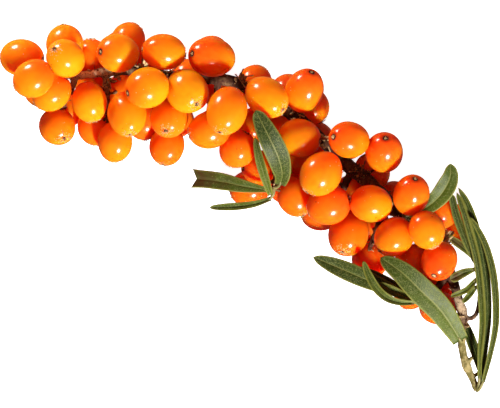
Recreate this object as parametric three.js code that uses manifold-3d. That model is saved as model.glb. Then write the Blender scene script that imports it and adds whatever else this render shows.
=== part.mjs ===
// A cut sprig of sea buckthorn lying on a surface: a woody twig set with bunches of berries, and leaves.
// Millimetres. +X runs right along the sprig, from the tip of its twig to the side of its cut end,
// +Y across it, +Z up from the surface it lies on.
import * as THREE from "three";
import { mergeVertices } from "three/addons/utils/BufferGeometryUtils.js";
import Module from "manifold-3d";

const wasm = await Module();
wasm.setup();

// Twig and spurs
const twigHeight = 12.6; // axis of the twig above the surface
const twigRadii = [0.8, 1.25, 1.5, 0.95, 0.8]; // from the tip to the cut end
const spurRadii = [0.95, 0.55];
const shootRadii = [0.55, 0.4];
const thornRadii = [0.7, 0.15];
const stubRadii = [0.6, 0.4];
const stemSides = 6;
const twigSteps = 48;
const spurSteps = 6;

// Berries
const berryRadius = 4.1; // of a berry on the underside
const berrySpread = 0.2; // how far such a radius strays from that
const berryStretch = 1.08; // length over width of such a berry
const facetGrowth = 1.03; // lets a faceted berry hold as much as a round one
const berryReach = 8.4; // from the stem's axis to the berry's middle
const pedicelRadius = 0.45;
const pedicelSides = 5;
const flatDepth = 0.45; // how much the lowest berries are flattened where they lie

// How berries press together
const pressed = 0.95; // share of touching distance kept inside a bunch
const nearTouch = 1.22; // neighbours in a bunch closer than this share are drawn together
const drawTogether = 0.2;
const bunchGap = 0.5; // clear distance kept between bunches
const pieceGap = 0.7; // clear distance kept from stems and leaves
const settleRounds = 200;
const looseRounds = 50; // last rounds, in which berries are only pushed apart
const seenGive = 0.05; // how freely a seen berry moves sideways
const hiddenGive = 0.5;
const planReturn = 0.15; // how strongly it goes back to its place
const heightReturn = 0.02;

// Berries on the underside
const hiddenStep = 6.5;
const hiddenTurns = [-130, -110, -90, -70, -50]; // degrees round the stem, -90 straight down
const hiddenStray = 9;
const hiddenClear = 0.78; // share of touching distance left to berries already placed
const hiddenCover = 3.1; // how near a seen berry has to be, from above

const gap = 0.3; // left between neighbouring pieces
const bladeThickness = 0.62;
const bladeSteps = 9;
const tipFullness = 0.7; // a lower power gives a blunter tip
const surface = { width: 200, depth: 20 }; // what the lowest berries are flattened against
const weldDistance = 1e-4;
const seed = 17;
const bodyLetters = "abcdefgh";

const looks = {
  berry: { color: 0xf08a1e, roughness: 0.25 },
  bark: { color: 0x7a5a3c, roughness: 0.8 },
  leaf: { color: 0x64803a, roughness: 0.6 },
  dryLeaf: { color: 0x5a4a22, roughness: 0.7 },
};

// The twig's line from its tip to its cut end: right, across, and height over twigHeight.
const twigRoute = [
  [-47.7, 31.1, 0],
  [-40.1, 30.4, 0],
  [-33.2, 31.1, 0.3],
  [-26.3, 31.5, 0.3],
  [-18.3, 30.4, 0],
  [-10.2, 29.7, 0],
  [-3.1, 28.8, 0],
  [2.9, 24.6, 0],
  [9.3, 21.6, 0],
  [16.7, 15.4, 0],
  [22, 10.1, 0.4],
  [27.7, 5.5, 0.4],
  [34.6, -1.8, 0],
  [41.5, -8.7, 0],
  [45.7, -14.5, 0],
  [48, -21.2, 0],
  [49.1, -25.5, -0.2],
  [48.6, -29.4, -0.6],
  [48.9, -32.2, -0.9],
  [49.3, -34.7, -1.2],
  [50.3, -37.5, -1.5],
  [51.4, -39.8, -1.7],
  [52.3, -42.1, -1.8],
];

// Short side stems, each from the twig outwards.
const sideStems = [
  { route: [[-40.1, 30.4, 0], [-41.3, 26.9, -0.8], [-43.1, 23.7, -1]], radii: spurRadii, fruits: true },
  { route: [[-33.2, 31.1, 0], [-33, 26.5, -1], [-32.8, 20.5, -1.5]], radii: spurRadii, fruits: true },
  { route: [[-22.9, 31.1, 0], [-22.2, 25.8, -1.2], [-21.3, 19.1, -1.5]], radii: spurRadii, fruits: true },
  { route: [[-7.2, 29.4, 0], [-7.7, 25.5, -1.2], [-6.8, 19.6, -1.5]], radii: spurRadii, fruits: true },
  {
    route: [[11.6, 19.8, 0], [8.4, 13.1, -0.5], [6.2, 7.5, 0.8], [5.4, 4.6, 2]],
    radii: spurRadii,
    fruits: true,
  },
  { route: [[23.6, 9, 0], [20.8, 2.8, -1], [19, -1.8, -1.5]], radii: spurRadii, fruits: true },
  { route: [[31.2, 1.8, 0], [29.6, -4.1, -1], [27.7, -9, -1.5]], radii: spurRadii, fruits: true },
  {
    route: [[45.2, -14, 0], [43.8, -17.5, 0.7], [41.1, -20.2, 1.2], [38.9, -21.1, 1.4]],
    radii: spurRadii,
    fruits: true,
  },
  { route: [[25.9, 6.9, 0], [28.9, 9, 1.6]], radii: thornRadii },
  {
    route: [
      [48.9, -25.1, 0],
      [50.9, -25.5, 0],
      [52.2, -23.9, -0.2],
      [52.7, -20.2, -0.3],
      [52.6, -16.3, -0.3],
      [51.8, -12.6, -0.2],
    ],
    radii: shootRadii,
  },
  { route: [[49.8, -36.1, -1.3], [51.2, -34.5, -1]], radii: stubRadii },
];

// Berries seen from above, bunch by bunch from the tip: right, across, where each sits round its stem,
// from 1 on top through 0 at the side to -1 beneath, its width and length, and in degrees where the end
// with the flower's remains points: its bearing from +X and how far it is raised.
const seenBerries = [
  [
    [-52.4, 34.4, -0.5, 8.6, 10.3, 175, -15],
    [-49.4, 29.5, 0.4, 8.6, 9.8, 210, -10],
    [-42.3, 37.4, -0.4, 8.6, 9.2, 100, -10],
    [-42.4, 34.2, 0.9, 8.6, 10, 140, 50],
    [-45.4, 26.6, 0.7, 8.4, 9.6, 225, -10],
    [-44, 19.5, 0, 8.4, 9.4, 300, 45],
    [-41.2, 23, -1, 7.8, 8.2, 250, -10],
  ],
  [
    [-36.7, 33.5, -0.3, 8.2, 8.8, 90, 0],
    [-30.1, 35.4, 0.8, 8.9, 10.3, -4, -38],
    [-28.1, 38.4, -0.3, 8, 8.6, 60, -10],
    [-37.1, 24.5, 0.8, 8.1, 9.6, 282, 0],
    [-36, 18.8, -0.3, 8, 8.8, 285, -10],
    [-31.1, 15.7, 0.1, 8.1, 9.5, 272, -15],
    [-28.2, 21.3, 0.6, 9, 11, 280, 28],
    [-36.2, 28.4, -1, 8, 8.6, 250, -10],
    [-30, 27.6, -1, 8, 8.6, 250, -10],
  ],
  [
    [-20, 35.8, 0.5, 8.4, 10.3, -8, -10],
    [-23.6, 27.3, 1, 9.5, 10.4, 16, -24],
    [-24.2, 19.9, -0.6, 8.2, 8.8, 270, -10],
    [-18.5, 20.6, 0.6, 8.8, 10.4, 256, 52],
    [-19.5, 15, 0.1, 8.1, 9.4, 260, 15],
    [-14, 26.7, 0.9, 9.7, 11.2, 306, 45],
    [-13.6, 29.8, -0.5, 8.2, 9, 120, -10],
    [-25, 32.3, -1, 8, 8.6, 90, -10],
  ],
  [
    [-8.9, 34.2, 0.8, 9.2, 11.6, -10, -36],
    [-5.7, 22.3, 0.8, 9.4, 11.7, 253, 26],
    [-8.7, 17.7, 0.2, 8.6, 10.1, 195, 10],
    [-2.6, 13.3, -0.5, 8.4, 9, 240, -10],
    [1.4, 28.4, -0.3, 8.2, 9, 70, 0],
    [4.1, 25.3, 0.8, 9, 11.2, 323, 30],
    [0.8, 18.6, -1, 8, 8.6, 250, -10],
    [-7.6, 27, -1, 7.8, 8.2, 250, -10],
  ],
  [
    [2.4, 8.6, 0.25, 8.4, 9.2, 0, -20],
    [1, 5.1, -0.5, 8.6, 9.4, 190, -10],
    [12.1, 26.8, 0.8, 8.8, 11.1, 248, -35],
    [14, 23.4, -0.3, 8.2, 8.8, 300, -10],
    [11.3, 15.8, 0.8, 9, 10, 172, -10],
    [15.1, 15.6, -0.5, 8.2, 9, 330, -10],
    [9.4, 3.6, 0, 8.5, 10.1, 294, 10],
    [11.4, 10.9, -0.9, 7.6, 8, 250, -10],
    [7.3, 18.8, -0.9, 8.2, 8.8, 120, -10],
  ],
  [
    [23, 15.5, 0.6, 8.5, 10.2, -10, -42],
    [30.5, 12.7, 0.6, 8.7, 10.6, 265, -52],
    [16.3, 7.6, 0.9, 9.4, 10.9, 232, 10],
    [18.1, 0.7, 0.3, 9.2, 10.2, 200, -10],
    [16.6, -1, -0.3, 8.6, 9.4, 190, 12],
    [28.1, 0.6, 0.9, 8.6, 10, -10, -10],
    [27.4, 6.8, -0.5, 8.2, 8.8, 300, -10],
    [23.6, 4.4, -0.7, 8.2, 8.8, 250, -20],
  ],
  [
    [36.9, 2.9, 0.9, 8.3, 10.7, 257, -42],
    [22.6, -6, 0.5, 9.4, 11.4, 250, 35],
    [32.9, -7.4, 0.7, 8.7, 9.7, 224, 12],
    [40.6, -5.3, 1, 8.2, 9.1, 298, 12],
    [44.2, -0.9, -0.1, 8.4, 9, 270, -10],
    [48.3, -3.4, -0.5, 8.2, 8.8, 300, -10],
    [27.6, -11.4, -0.4, 8.4, 9.2, 280, -10],
    [28.1, -4.5, -0.9, 8.2, 8.8, 250, -10],
  ],
  [
    [43, -12.7, 0.6, 8.3, 10, 70, -42],
    [36.8, -12.7, 0.2, 8.4, 9.2, 240, -10],
    [42.8, -18.3, -0.8, 8.2, 9, 300, -10],
    [43.6, -22.3, -0.3, 8, 8.8, 180, 25],
    [38.2, -19.5, -0.6, 7.8, 8.4, 250, -10],
  ],
];

// Leaves: midrib from base to tip with heights above the surface, widths at base, widest place and tip,
// where the widest place is, roll about the midrib at base and tip in degrees, and how far the edges
// fold up; a notch is cut into the tip.
const leaves = [
  {
    name: "leaf_mid_broad",
    rib: [
      [6.9, 5.2, 16],
      [7.4, 7.4, 18.5],
      [6.7, 10.9, 22.2],
      [5.3, 14.2, 24.2],
      [3.9, 17, 24.9],
      [1.3, 22.2, 25],
    ],
    widths: [2.4, 5.3, 1.6],
    widest: 0.52,
    roll: [0, 0],
    fold: 0.12,
  },
  {
    name: "leaf_mid_narrow",
    rib: [[4.7, 2.9, 15.4], [3.6, 6.2, 17.8], [2.4, 10.1, 19.6], [1.7, 13.1, 20], [1.2, 16, 19.6]],
    widths: [1.2, 2.1, 0.7],
    widest: 0.5,
    roll: [0, 0],
    fold: 0.5,
  },
  {
    name: "leaf_mid_notched",
    rib: [[3.9, 4, 14.6], [-1, 4.8, 14.6], [-5.6, 5.8, 14.4], [-9.5, 6.4, 14.2], [-13.4, 6.7, 14]],
    widths: [1.2, 4.1, 4.5],
    widest: 0.75,
    roll: [0, 8],
    fold: 0.1,
    notch: 1.1,
  },
  {
    name: "leaf_mid_lower",
    rib: [[4.7, 2, 14], [1.3, 0.9, 13.4], [-2.6, 0.3, 12.6], [-6.3, 0.1, 12], [-9.3, 0, 11.6]],
    widths: [1, 1.8, 0.6],
    widest: 0.6,
    roll: [10, 0],
    fold: 0.2,
  },
  {
    name: "leaf_upper_right",
    rib: [
      [36.2, -2, 14.4],
      [38.8, -0.9, 15],
      [41.5, 0.7, 15.8],
      [44, 3.2, 17],
      [45.9, 6.9, 18],
      [46.1, 10.1, 18.2],
    ],
    widths: [1.2, 4.5, 0.8],
    widest: 0.66,
    roll: [0, 10],
    fold: 0.2,
  },
  {
    name: "leaf_bundle_inner",
    rib: [
      [51.6, -12.3, 13.6],
      [50.5, -9.9, 13.9],
      [48.9, -5.8, 14.2],
      [47.5, -1.8, 14.4],
      [46.3, 3, 14.6],
    ],
    widths: [1, 1.9, 1.4],
    widest: 0.6,
    roll: [-15, -15],
    fold: 0.3,
  },
  {
    name: "leaf_bundle_middle",
    rib: [
      [52.8, -39.3, 13.4],
      [52.9, -32.9, 13.8],
      [53.4, -26, 14],
      [52.9, -17.9, 14.2],
      [51.9, -11, 15],
      [50.5, -5.8, 15.5],
      [49.1, -0.9, 15.9],
      [47.5, 3.5, 15.9],
    ],
    widths: [0.9, 1.6, 1.1],
    widest: 0.62,
    roll: [0, -10],
    fold: 0.35,
  },
  {
    name: "leaf_bundle_back",
    rib: [
      [53.1, -40.5, 12.3],
      [54.1, -32.9, 12.4],
      [54.8, -24.8, 12.6],
      [54.4, -16.8, 12.9],
      [53.2, -9.4, 13.3],
      [51.6, -3.5, 13.7],
      [50, 0.9, 14],
      [47.9, 4.6, 14],
    ],
    widths: [0.9, 1.9, 0.9],
    widest: 0.7,
    roll: [0, 0],
    fold: 0.35,
  },
  {
    name: "leaf_bundle_outer",
    rib: [
      [53.6, -40.2, 13.5],
      [55.2, -34, 13.6],
      [56.5, -27.1, 13.8],
      [56.5, -20.7, 14],
      [55.8, -14.5, 14.4],
      [54.2, -8.7, 14.9],
      [52.3, -4.8, 15.2],
      [50.5, -2.1, 15.3],
    ],
    widths: [0.9, 1.7, 0.7],
    widest: 0.6,
    roll: [0, 0],
    fold: 0.3,
  },
  {
    name: "leaf_behind_upper",
    rib: [[51.1, -11.3, 12.6], [49.3, -9.4, 12.5], [45.7, -6.7, 12.3]],
    widths: [1, 1.8, 0.9],
    widest: 0.6,
    roll: [0, 0],
    fold: 0.15,
    dry: true,
  },
  {
    name: "leaf_behind_middle",
    rib: [[51.7, -14.2, 13.7], [49.3, -15, 14.6], [46.1, -16.6, 15.2]],
    widths: [0.9, 2.2, 1.1],
    widest: 0.75,
    roll: [0, 0],
    fold: 0.15,
    dry: true,
  },
  {
    name: "leaf_behind_lower",
    rib: [[52, -16.6, 13.6], [49.8, -18.9, 14.7], [46.2, -20.4, 15.3]],
    widths: [1, 1.4, 0.7],
    widest: 0.4,
    roll: [0, 0],
    fold: 0.2,
  },
  {
    name: "leaf_behind_lobe",
    rib: [[52, -18.1, 13.3], [50.5, -20.1, 13.6], [49, -21.8, 14.3]],
    widths: [1, 1.4, 0.7],
    widest: 0.5,
    roll: [0, 0],
    fold: 0.2,
  },
  {
    name: "leaf_front_large",
    rib: [
      [48.4, -30.6, 14.2],
      [46.1, -26.9, 16.6],
      [43.4, -23.2, 19.2],
      [39.2, -19.1, 21.8],
      [34.6, -14.7, 22.8],
      [29.9, -11.5, 22],
    ],
    widths: [3.8, 6.2, 1.6],
    widest: 0.5,
    roll: [0, 0],
    fold: 0.12,
  },
  {
    name: "leaf_twig_dark",
    rib: [[52.9, -37.6, 11.2], [52.1, -34, 10.6], [50.7, -29.9, 10.1], [49.4, -26.2, 9.9]],
    widths: [1, 2.4, 0.9],
    widest: 0.55,
    roll: [0, 0],
    fold: 0.2,
  },
  {
    name: "leaf_low_broad",
    rib: [
      [37.2, -21, 13],
      [33.5, -19.4, 12.9],
      [26.8, -16.6, 12.8],
      [20.8, -14, 12.5],
      [14.5, -11.4, 12],
    ],
    widths: [1, 4.4, 0.6],
    widest: 0.6,
    roll: [0, 0],
    fold: 0.12,
  },
  {
    name: "leaf_low_folded",
    rib: [
      [37.8, -21.9, 15.4],
      [35.1, -21.9, 15.6],
      [31.9, -21, 15.8],
      [29.3, -18.9, 16],
      [27.3, -15.6, 16.2],
      [26, -12.3, 16.4],
    ],
    widths: [0.9, 2, 0.7],
    widest: 0.6,
    roll: [0, 0],
    fold: 0.5,
  },
  {
    name: "leaf_low_silver",
    rib: [[38.2, -21.6, 14.5], [34.2, -19.8, 14.4], [29.6, -17.5, 14.3]],
    widths: [0.9, 2.2, 0.8],
    widest: 0.55,
    roll: [0, 0],
    fold: 0.1,
  },
  {
    name: "leaf_low_dry",
    rib: [[36.5, -20.3, 11.5], [33.2, -17.7, 11.6], [29.1, -15.6, 11.5], [24.5, -13.8, 11.4]],
    widths: [0.9, 1.8, 0.8],
    widest: 0.6,
    roll: [0, 0],
    fold: 0.15,
    dry: true,
  },
];

// A repeatable run of numbers from 0 to 1, each made from the one before.
function drawer(start) {
  const [factor, addend, span] = [1664525, 1013904223, 2 ** 32];
  let state = start;
  return () => {
    state = (Math.imul(state, factor) + addend) >>> 0;
    return state / span;
  };
}

const draw = drawer(seed);

// A value read along an evenly spaced list, at a share from 0 to 1.
function along(list, share) {
  const place = share * (list.length - 1);
  const step = Math.min(Math.floor(place), list.length - 2);
  return list[step] + (list[step + 1] - list[step]) * (place - step);
}

// A stem's line on its own height, sampled with its radius at each place.
function sampleStem({ route, radii }, steps) {
  const points = route.map(([x, y, rise]) => new THREE.Vector3(x, y, twigHeight + rise));
  const curve = new THREE.CatmullRomCurve3(points, false, "centripetal");
  return Array.from({ length: steps + 1 }, (_, step) => ({
    place: curve.getPoint(step / steps),
    heading: curve.getTangent(step / steps),
    radius: along(radii, step / steps),
  }));
}

// The stem place nearest to a point, seen from above or in space.
function nearestStem(stems, point, inPlan) {
  let best = null;
  let least = Infinity;
  for (const samples of stems) {
    for (const sample of samples) {
      const rise = inPlan ? 0 : point.z - sample.place.z;
      const away = Math.hypot(point.x - sample.place.x, point.y - sample.place.y, rise);
      if (away < least) {
        least = away;
        best = sample;
      }
    }
  }
  return { sample: best, away: least };
}

// A berry, with the place it is planned at kept beside the one it moves to.
function newBerry(place, bunch, seen, width, length, axis) {
  const spin = 2 * Math.PI * draw();
  return { place, planned: place.clone(), bunch, seen, radius: width / 2, half: length / 2, axis, spin };
}

// A direction by its bearing and its rise in degrees.
function direction(bearing, rise) {
  const turn = THREE.MathUtils.degToRad(bearing);
  const lift = THREE.MathUtils.degToRad(rise);
  const level = new THREE.Vector3(Math.cos(turn), Math.sin(turn), 0).multiplyScalar(Math.cos(lift));
  return level.setZ(Math.sin(lift));
}

// How far an oval berry reaches towards a place that lies along a step from its middle.
function reachAlong({ radius, half, axis }, step, away) {
  const share = (axis.dot(step) / away) ** 2;
  return Math.sqrt(half ** 2 * share + radius ** 2 * (1 - share));
}

// Berries that show from above, each as high round its stem as its turn says.
function placeSeen(stems) {
  return seenBerries.flatMap((berries, bunch) =>
    berries.map(([x, y, turn, width, length, bearing, rise]) => {
      const place = new THREE.Vector3(x, y, 0);
      const { sample, away } = nearestStem(stems, place, true);
      place.z = sample.place.z + turn * Math.sqrt(Math.max(0, berryReach ** 2 - away ** 2));
      return newBerry(place, bunch, true, width, length, direction(bearing, rise));
    }),
  );
}

// Berries round the underside of each stem, where there is room and the seen ones cover them.
function placeHidden(stems, seen) {
  const berries = [...seen];
  for (const samples of stems) {
    const length = samples.reduce(
      (sum, { place }, step) => (step ? sum + place.distanceTo(samples[step - 1].place) : 0),
      0,
    );
    const count = Math.max(1, Math.round(length / hiddenStep));
    for (let station = 0; station <= count; station++) {
      const { place, heading } = samples[Math.round((station / count) * (samples.length - 1))];
      const aside = new THREE.Vector3(-heading.y, heading.x, 0).normalize();
      for (const turn of hiddenTurns) {
        const angle = THREE.MathUtils.degToRad(turn + hiddenStray * (2 * draw() - 1));
        const middle = place.clone().addScaledVector(aside, berryReach * Math.cos(angle));
        middle.z += berryReach * Math.sin(angle);
        const clear = berries.every(
          (other) => other.place.distanceTo(middle) > hiddenClear * 2 * berryRadius,
        );
        const covered = seen.some(
          (other) => Math.hypot(other.place.x - middle.x, other.place.y - middle.y) < hiddenCover,
        );
        if (clear && covered) {
          const near = seen.reduce((a, b) =>
            a.place.distanceTo(middle) < b.place.distanceTo(middle) ? a : b,
          );
          const width = 2 * (berryRadius + berrySpread * (2 * draw() - 1));
          const axis = middle.clone().sub(place).normalize();
          berries.push(newBerry(middle, near.bunch, false, width, width * berryStretch, axis));
        }
      }
    }
  }
  return berries;
}

// Moves a berry, a seen one mostly up or down.
function nudge(berry, step, share) {
  const give = berry.seen ? seenGive : hiddenGive;
  berry.place.x += step.x * share * give;
  berry.place.y += step.y * share * give;
  berry.place.z += step.z * share;
}

// Places all over the stems and leaves that a berry has to keep clear of.
function keepClearPlaces(stems) {
  const woody = stems.flat().map(({ place, radius }) => ({ place, radius }));
  const leafy = leaves.flatMap((leaf) => bladeRows(leaf, [-1, -0.5, 0, 0.5, 1]).flat());
  return [...woody, ...leafy.map((place) => ({ place, radius: bladeThickness }))];
}

// Presses the berries of a bunch together, and holds bunches, stems, leaves and the surface apart.
function settle(berries, stems) {
  const obstacles = keepClearPlaces(stems);
  const step = new THREE.Vector3();
  const up = new THREE.Vector3(0, 0, 1);
  for (let round = 0; round < settleRounds; round++) {
    const held = round < settleRounds - looseRounds;
    for (let i = 0; i < berries.length; i++) {
      const a = berries[i];
      for (let j = i + 1; j < berries.length; j++) {
        const b = berries[j];
        step.subVectors(b.place, a.place);
        const away = step.length();
        const reach = reachAlong(a, step, away) + reachAlong(b, step, away);
        const together = a.bunch === b.bunch;
        const wanted = together ? pressed * reach : reach + bunchGap;
        const drawn = held && together && away < nearTouch * reach ? drawTogether : 0;
        const share = away < wanted ? 0.5 : drawn;
        step.multiplyScalar((share * (away - wanted)) / away);
        nudge(a, step, 1);
        nudge(b, step, -1);
      }
      for (const { place, radius } of obstacles) {
        step.subVectors(a.place, place);
        const away = step.length();
        const short = reachAlong(a, step, away) + radius + pieceGap - away;
        if (short > 0) {
          nudge(a, step, short / away);
        }
      }
      if (held) {
        a.place.x += (a.planned.x - a.place.x) * planReturn;
        a.place.y += (a.planned.y - a.place.y) * planReturn;
        a.place.z += (a.planned.z - a.place.z) * heightReturn;
      }
      a.place.z = Math.max(a.place.z, reachAlong(a, up, 1) - flatDepth);
    }
  }
}

// A closed solid through rings of equally many points, with a fan over each end.
function loft(rings) {
  const sides = rings[0].length;
  const middle = (ring) =>
    ring.reduce((sum, point) => sum.add(point), new THREE.Vector3()).divideScalar(sides);
  const points = [...rings.flat(), middle(rings[0]), middle(rings[rings.length - 1])];
  const [start, end] = [points.length - 2, points.length - 1];
  const last = (rings.length - 1) * sides;
  const faces = [];
  for (let side = 0; side < sides; side++) {
    const next = (side + 1) % sides;
    for (let ring = 0; ring < rings.length - 1; ring++) {
      const low = ring * sides;
      const high = low + sides;
      faces.push(low + side, low + next, high + next, low + side, high + next, high + side);
    }
    faces.push(start, next, side, end, last + side, last + next);
  }
  return meshGeometry(points, faces);
}

function meshGeometry(points, faces) {
  const geometry = new THREE.BufferGeometry().setFromPoints(points);
  geometry.setIndex(faces);
  return geometry;
}

// A round stem along samples of its line.
function stemGeometry(samples, sides) {
  const up = new THREE.Vector3(0, 0, 1);
  return loft(
    samples.map(({ place, heading, radius }) => {
      const aside = new THREE.Vector3().crossVectors(up, heading).normalize();
      const over = new THREE.Vector3().crossVectors(heading, aside);
      return Array.from({ length: sides }, (_, side) => {
        const angle = (2 * Math.PI * side) / sides;
        return place
          .clone()
          .addScaledVector(aside, radius * Math.cos(angle))
          .addScaledVector(over, radius * Math.sin(angle));
      });
    }),
  );
}

// An oval berry grown by an even margin.
function berryGeometry(berry, margin) {
  const across = berry.radius * facetGrowth + margin;
  const geometry = new THREE.IcosahedronGeometry(1, 1);
  geometry.rotateZ(berry.spin);
  geometry.scale(across, across, berry.half * facetGrowth + margin);
  const turn = new THREE.Quaternion().setFromUnitVectors(new THREE.Vector3(0, 0, 1), berry.axis);
  geometry.applyQuaternion(turn);
  geometry.translate(berry.place.x, berry.place.y, berry.place.z);
  return geometry;
}

// The stalk from a berry's stem into the berry.
function pedicelGeometry({ place, stem }) {
  const heading = place.clone().sub(stem.place).normalize();
  const ends = [stem.place, place].map((point) => ({ place: point, heading, radius: pedicelRadius }));
  return stemGeometry(ends, pedicelSides);
}

// Half the blade's width at a share of its length.
function bladeHalfWidth({ widths, widest }, share) {
  const [base, most, tip] = widths;
  if (share < widest) {
    const grown = Math.sin((Math.PI / 2) * (share / widest));
    return (base + (most - base) * grown) / 2;
  }
  const left = 1 - ((share - widest) / (1 - widest)) ** 2;
  return (tip + (most - tip) * left ** tipFullness) / 2;
}

// Rows of places across a blade from base to tip, folded up along the midrib.
function bladeRows(leaf, sides, drop = 0) {
  const ribPoints = leaf.rib.map((point) => new THREE.Vector3(...point));
  const curve = new THREE.CatmullRomCurve3(ribPoints, false, "centripetal");
  return Array.from({ length: bladeSteps + 1 }, (_, step) => {
    const share = step / bladeSteps;
    const heading = curve.getTangentAt(share);
    const roll = THREE.MathUtils.degToRad(along(leaf.roll, share));
    const aside = new THREE.Vector3(-heading.y, heading.x, 0).normalize().applyAxisAngle(heading, roll);
    const over = new THREE.Vector3().crossVectors(heading, aside);
    const half = bladeHalfWidth(leaf, share);
    const notch = step === bladeSteps ? leaf.notch ?? 0 : 0;
    return sides.map((side) =>
      curve
        .getPointAt(share)
        .addScaledVector(aside, side * half)
        .addScaledVector(over, Math.abs(side) * half * leaf.fold - drop)
        .addScaledVector(heading, -notch * (1 - Math.abs(side))),
    );
  });
}

// A leaf blade whose upper and under faces are split alike.
function bladeGeometry(leaf) {
  const sides = [-1, 0, 1];
  const top = bladeRows(leaf, sides).flat();
  const under = bladeRows(leaf, sides, bladeThickness).flat();
  return meshGeometry([...top, ...under], bladeFaces(bladeSteps, sides.length));
}

// Triangles of a blade of rows and columns: both faces, then the walls round them.
function bladeFaces(steps, columns) {
  const half = (steps + 1) * columns;
  const faces = [];
  const wall = (a, b) => faces.push(a, b, b + half, a, b + half, a + half);
  for (let step = 0; step < steps; step++) {
    for (let column = 0; column < columns - 1; column++) {
      const a = step * columns + column;
      const [b, c, d] = [a + 1, a + columns + 1, a + columns];
      faces.push(a, c, b, a, d, c);
      faces.push(a + half, b + half, c + half, a + half, c + half, d + half);
    }
    wall(step * columns + columns, step * columns);
    wall(step * columns + columns - 1, step * columns + 2 * columns - 1);
  }
  for (let column = 0; column < columns - 1; column++) {
    wall(column, column + 1);
    wall(steps * columns + column + 1, steps * columns + column);
  }
  return faces;
}

function toSolid(geometry) {
  const bare = new THREE.BufferGeometry().setAttribute("position", geometry.getAttribute("position"));
  bare.setIndex(geometry.index);
  const merged = mergeVertices(bare, weldDistance);
  return new wasm.Manifold(
    new wasm.Mesh({
      numProp: 3,
      vertProperties: merged.getAttribute("position").array,
      triVerts: new Uint32Array(merged.index.array),
    }),
  );
}

function toGeometry(solid) {
  const { numProp, vertProperties, triVerts } = solid.getMesh();
  const geometry = new THREE.BufferGeometry();
  geometry.setAttribute("position", new THREE.BufferAttribute(vertProperties, numProp));
  geometry.setIndex(new THREE.BufferAttribute(triVerts, 1));
  geometry.computeVertexNormals();
  return geometry;
}

const joined = (geometries) => geometries.map(toSolid).reduce((sum, solid) => sum.add(solid));

const largestBody = (solid) => solid.decompose().reduce((a, b) => (a.volume() > b.volume() ? a : b));

// The twig with its spurs and berry stalks, clear of every berry.
function twigSolid(stems, berries) {
  const wood = joined(stems.map((samples) => stemGeometry(samples, stemSides)));
  const stalks = joined(berries.map(pedicelGeometry));
  const room = joined(berries.map((berry) => berryGeometry(berry, gap)));
  return largestBody(wood.add(stalks).subtract(room));
}

// One bunch, flat where it lies, as the bodies its berries are pressed into, largest first.
function bunchBodies(berries) {
  const below = new THREE.BoxGeometry(surface.width, surface.width, surface.depth);
  below.translate(0, 0, -surface.depth / 2);
  const bunch = joined(berries.map((berry) => berryGeometry(berry, 0))).subtract(toSolid(below));
  return bunch.decompose().sort((a, b) => b.volume() - a.volume());
}

function addPiece(group, name, geometry, look) {
  const mesh = new THREE.Mesh(geometry, new THREE.MeshStandardMaterial(look));
  mesh.name = name;
  group.add(mesh);
}

function buildSprig() {
  const sprig = new THREE.Group();
  const twig = sampleStem({ route: twigRoute, radii: twigRadii }, twigSteps);
  const stems = [twig, ...sideStems.map((stem) => sampleStem(stem, spurSteps))];
  const fruiting = stems.filter((_, index) => index === 0 || sideStems[index - 1].fruits);
  const berries = placeHidden(fruiting, placeSeen(fruiting));
  settle(berries, stems);
  for (const berry of berries) {
    berry.stem = nearestStem(stems, berry.place, false).sample;
  }
  addPiece(sprig, "twig", toGeometry(twigSolid(stems, berries)), looks.bark);
  seenBerries.forEach((_, bunch) => {
    const own = berries.filter((berry) => berry.bunch === bunch);
    bunchBodies(own).forEach((body, index) => {
      const name = `berry_bunch_${bunch + 1}${bodyLetters[index]}`;
      addPiece(sprig, name, toGeometry(body), looks.berry);
    });
  });
  for (const leaf of leaves) {
    addPiece(sprig, leaf.name, bladeGeometry(leaf), leaf.dry ? looks.dryLeaf : looks.leaf);
  }
  return sprig;
}

export default buildSprig();
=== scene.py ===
import math
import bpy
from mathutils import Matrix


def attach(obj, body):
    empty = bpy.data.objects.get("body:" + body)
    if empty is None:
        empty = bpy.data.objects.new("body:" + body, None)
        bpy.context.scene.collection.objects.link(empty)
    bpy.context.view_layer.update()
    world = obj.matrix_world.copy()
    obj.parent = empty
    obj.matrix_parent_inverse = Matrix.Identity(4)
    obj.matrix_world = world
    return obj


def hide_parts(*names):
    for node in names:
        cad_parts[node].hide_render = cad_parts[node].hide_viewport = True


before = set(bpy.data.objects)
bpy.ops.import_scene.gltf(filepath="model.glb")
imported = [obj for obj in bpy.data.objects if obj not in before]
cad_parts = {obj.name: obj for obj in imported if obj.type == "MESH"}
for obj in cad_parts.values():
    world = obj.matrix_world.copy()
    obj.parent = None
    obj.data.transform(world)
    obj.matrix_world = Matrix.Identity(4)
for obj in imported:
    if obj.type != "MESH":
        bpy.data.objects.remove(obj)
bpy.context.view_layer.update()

from types import SimpleNamespace

import bpy
import numpy as np

mm = 0.001  # the plan below is in millimetres, the scene in metres
print("frame loaded with", len(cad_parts), "nodes")


# Repeatable numbers and curves

def drawer(seed):
    state = seed

    def draw():
        nonlocal state
        state = (state * 1664525 + 1013904223) % 2 ** 32
        return state / 2 ** 32

    return draw


def unit(vector):
    return vector / np.linalg.norm(vector)


def readAlong(values, share):  # value at a share of an evenly spaced list
    return float(np.interp(share * (len(values) - 1), range(len(values)), values))


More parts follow.
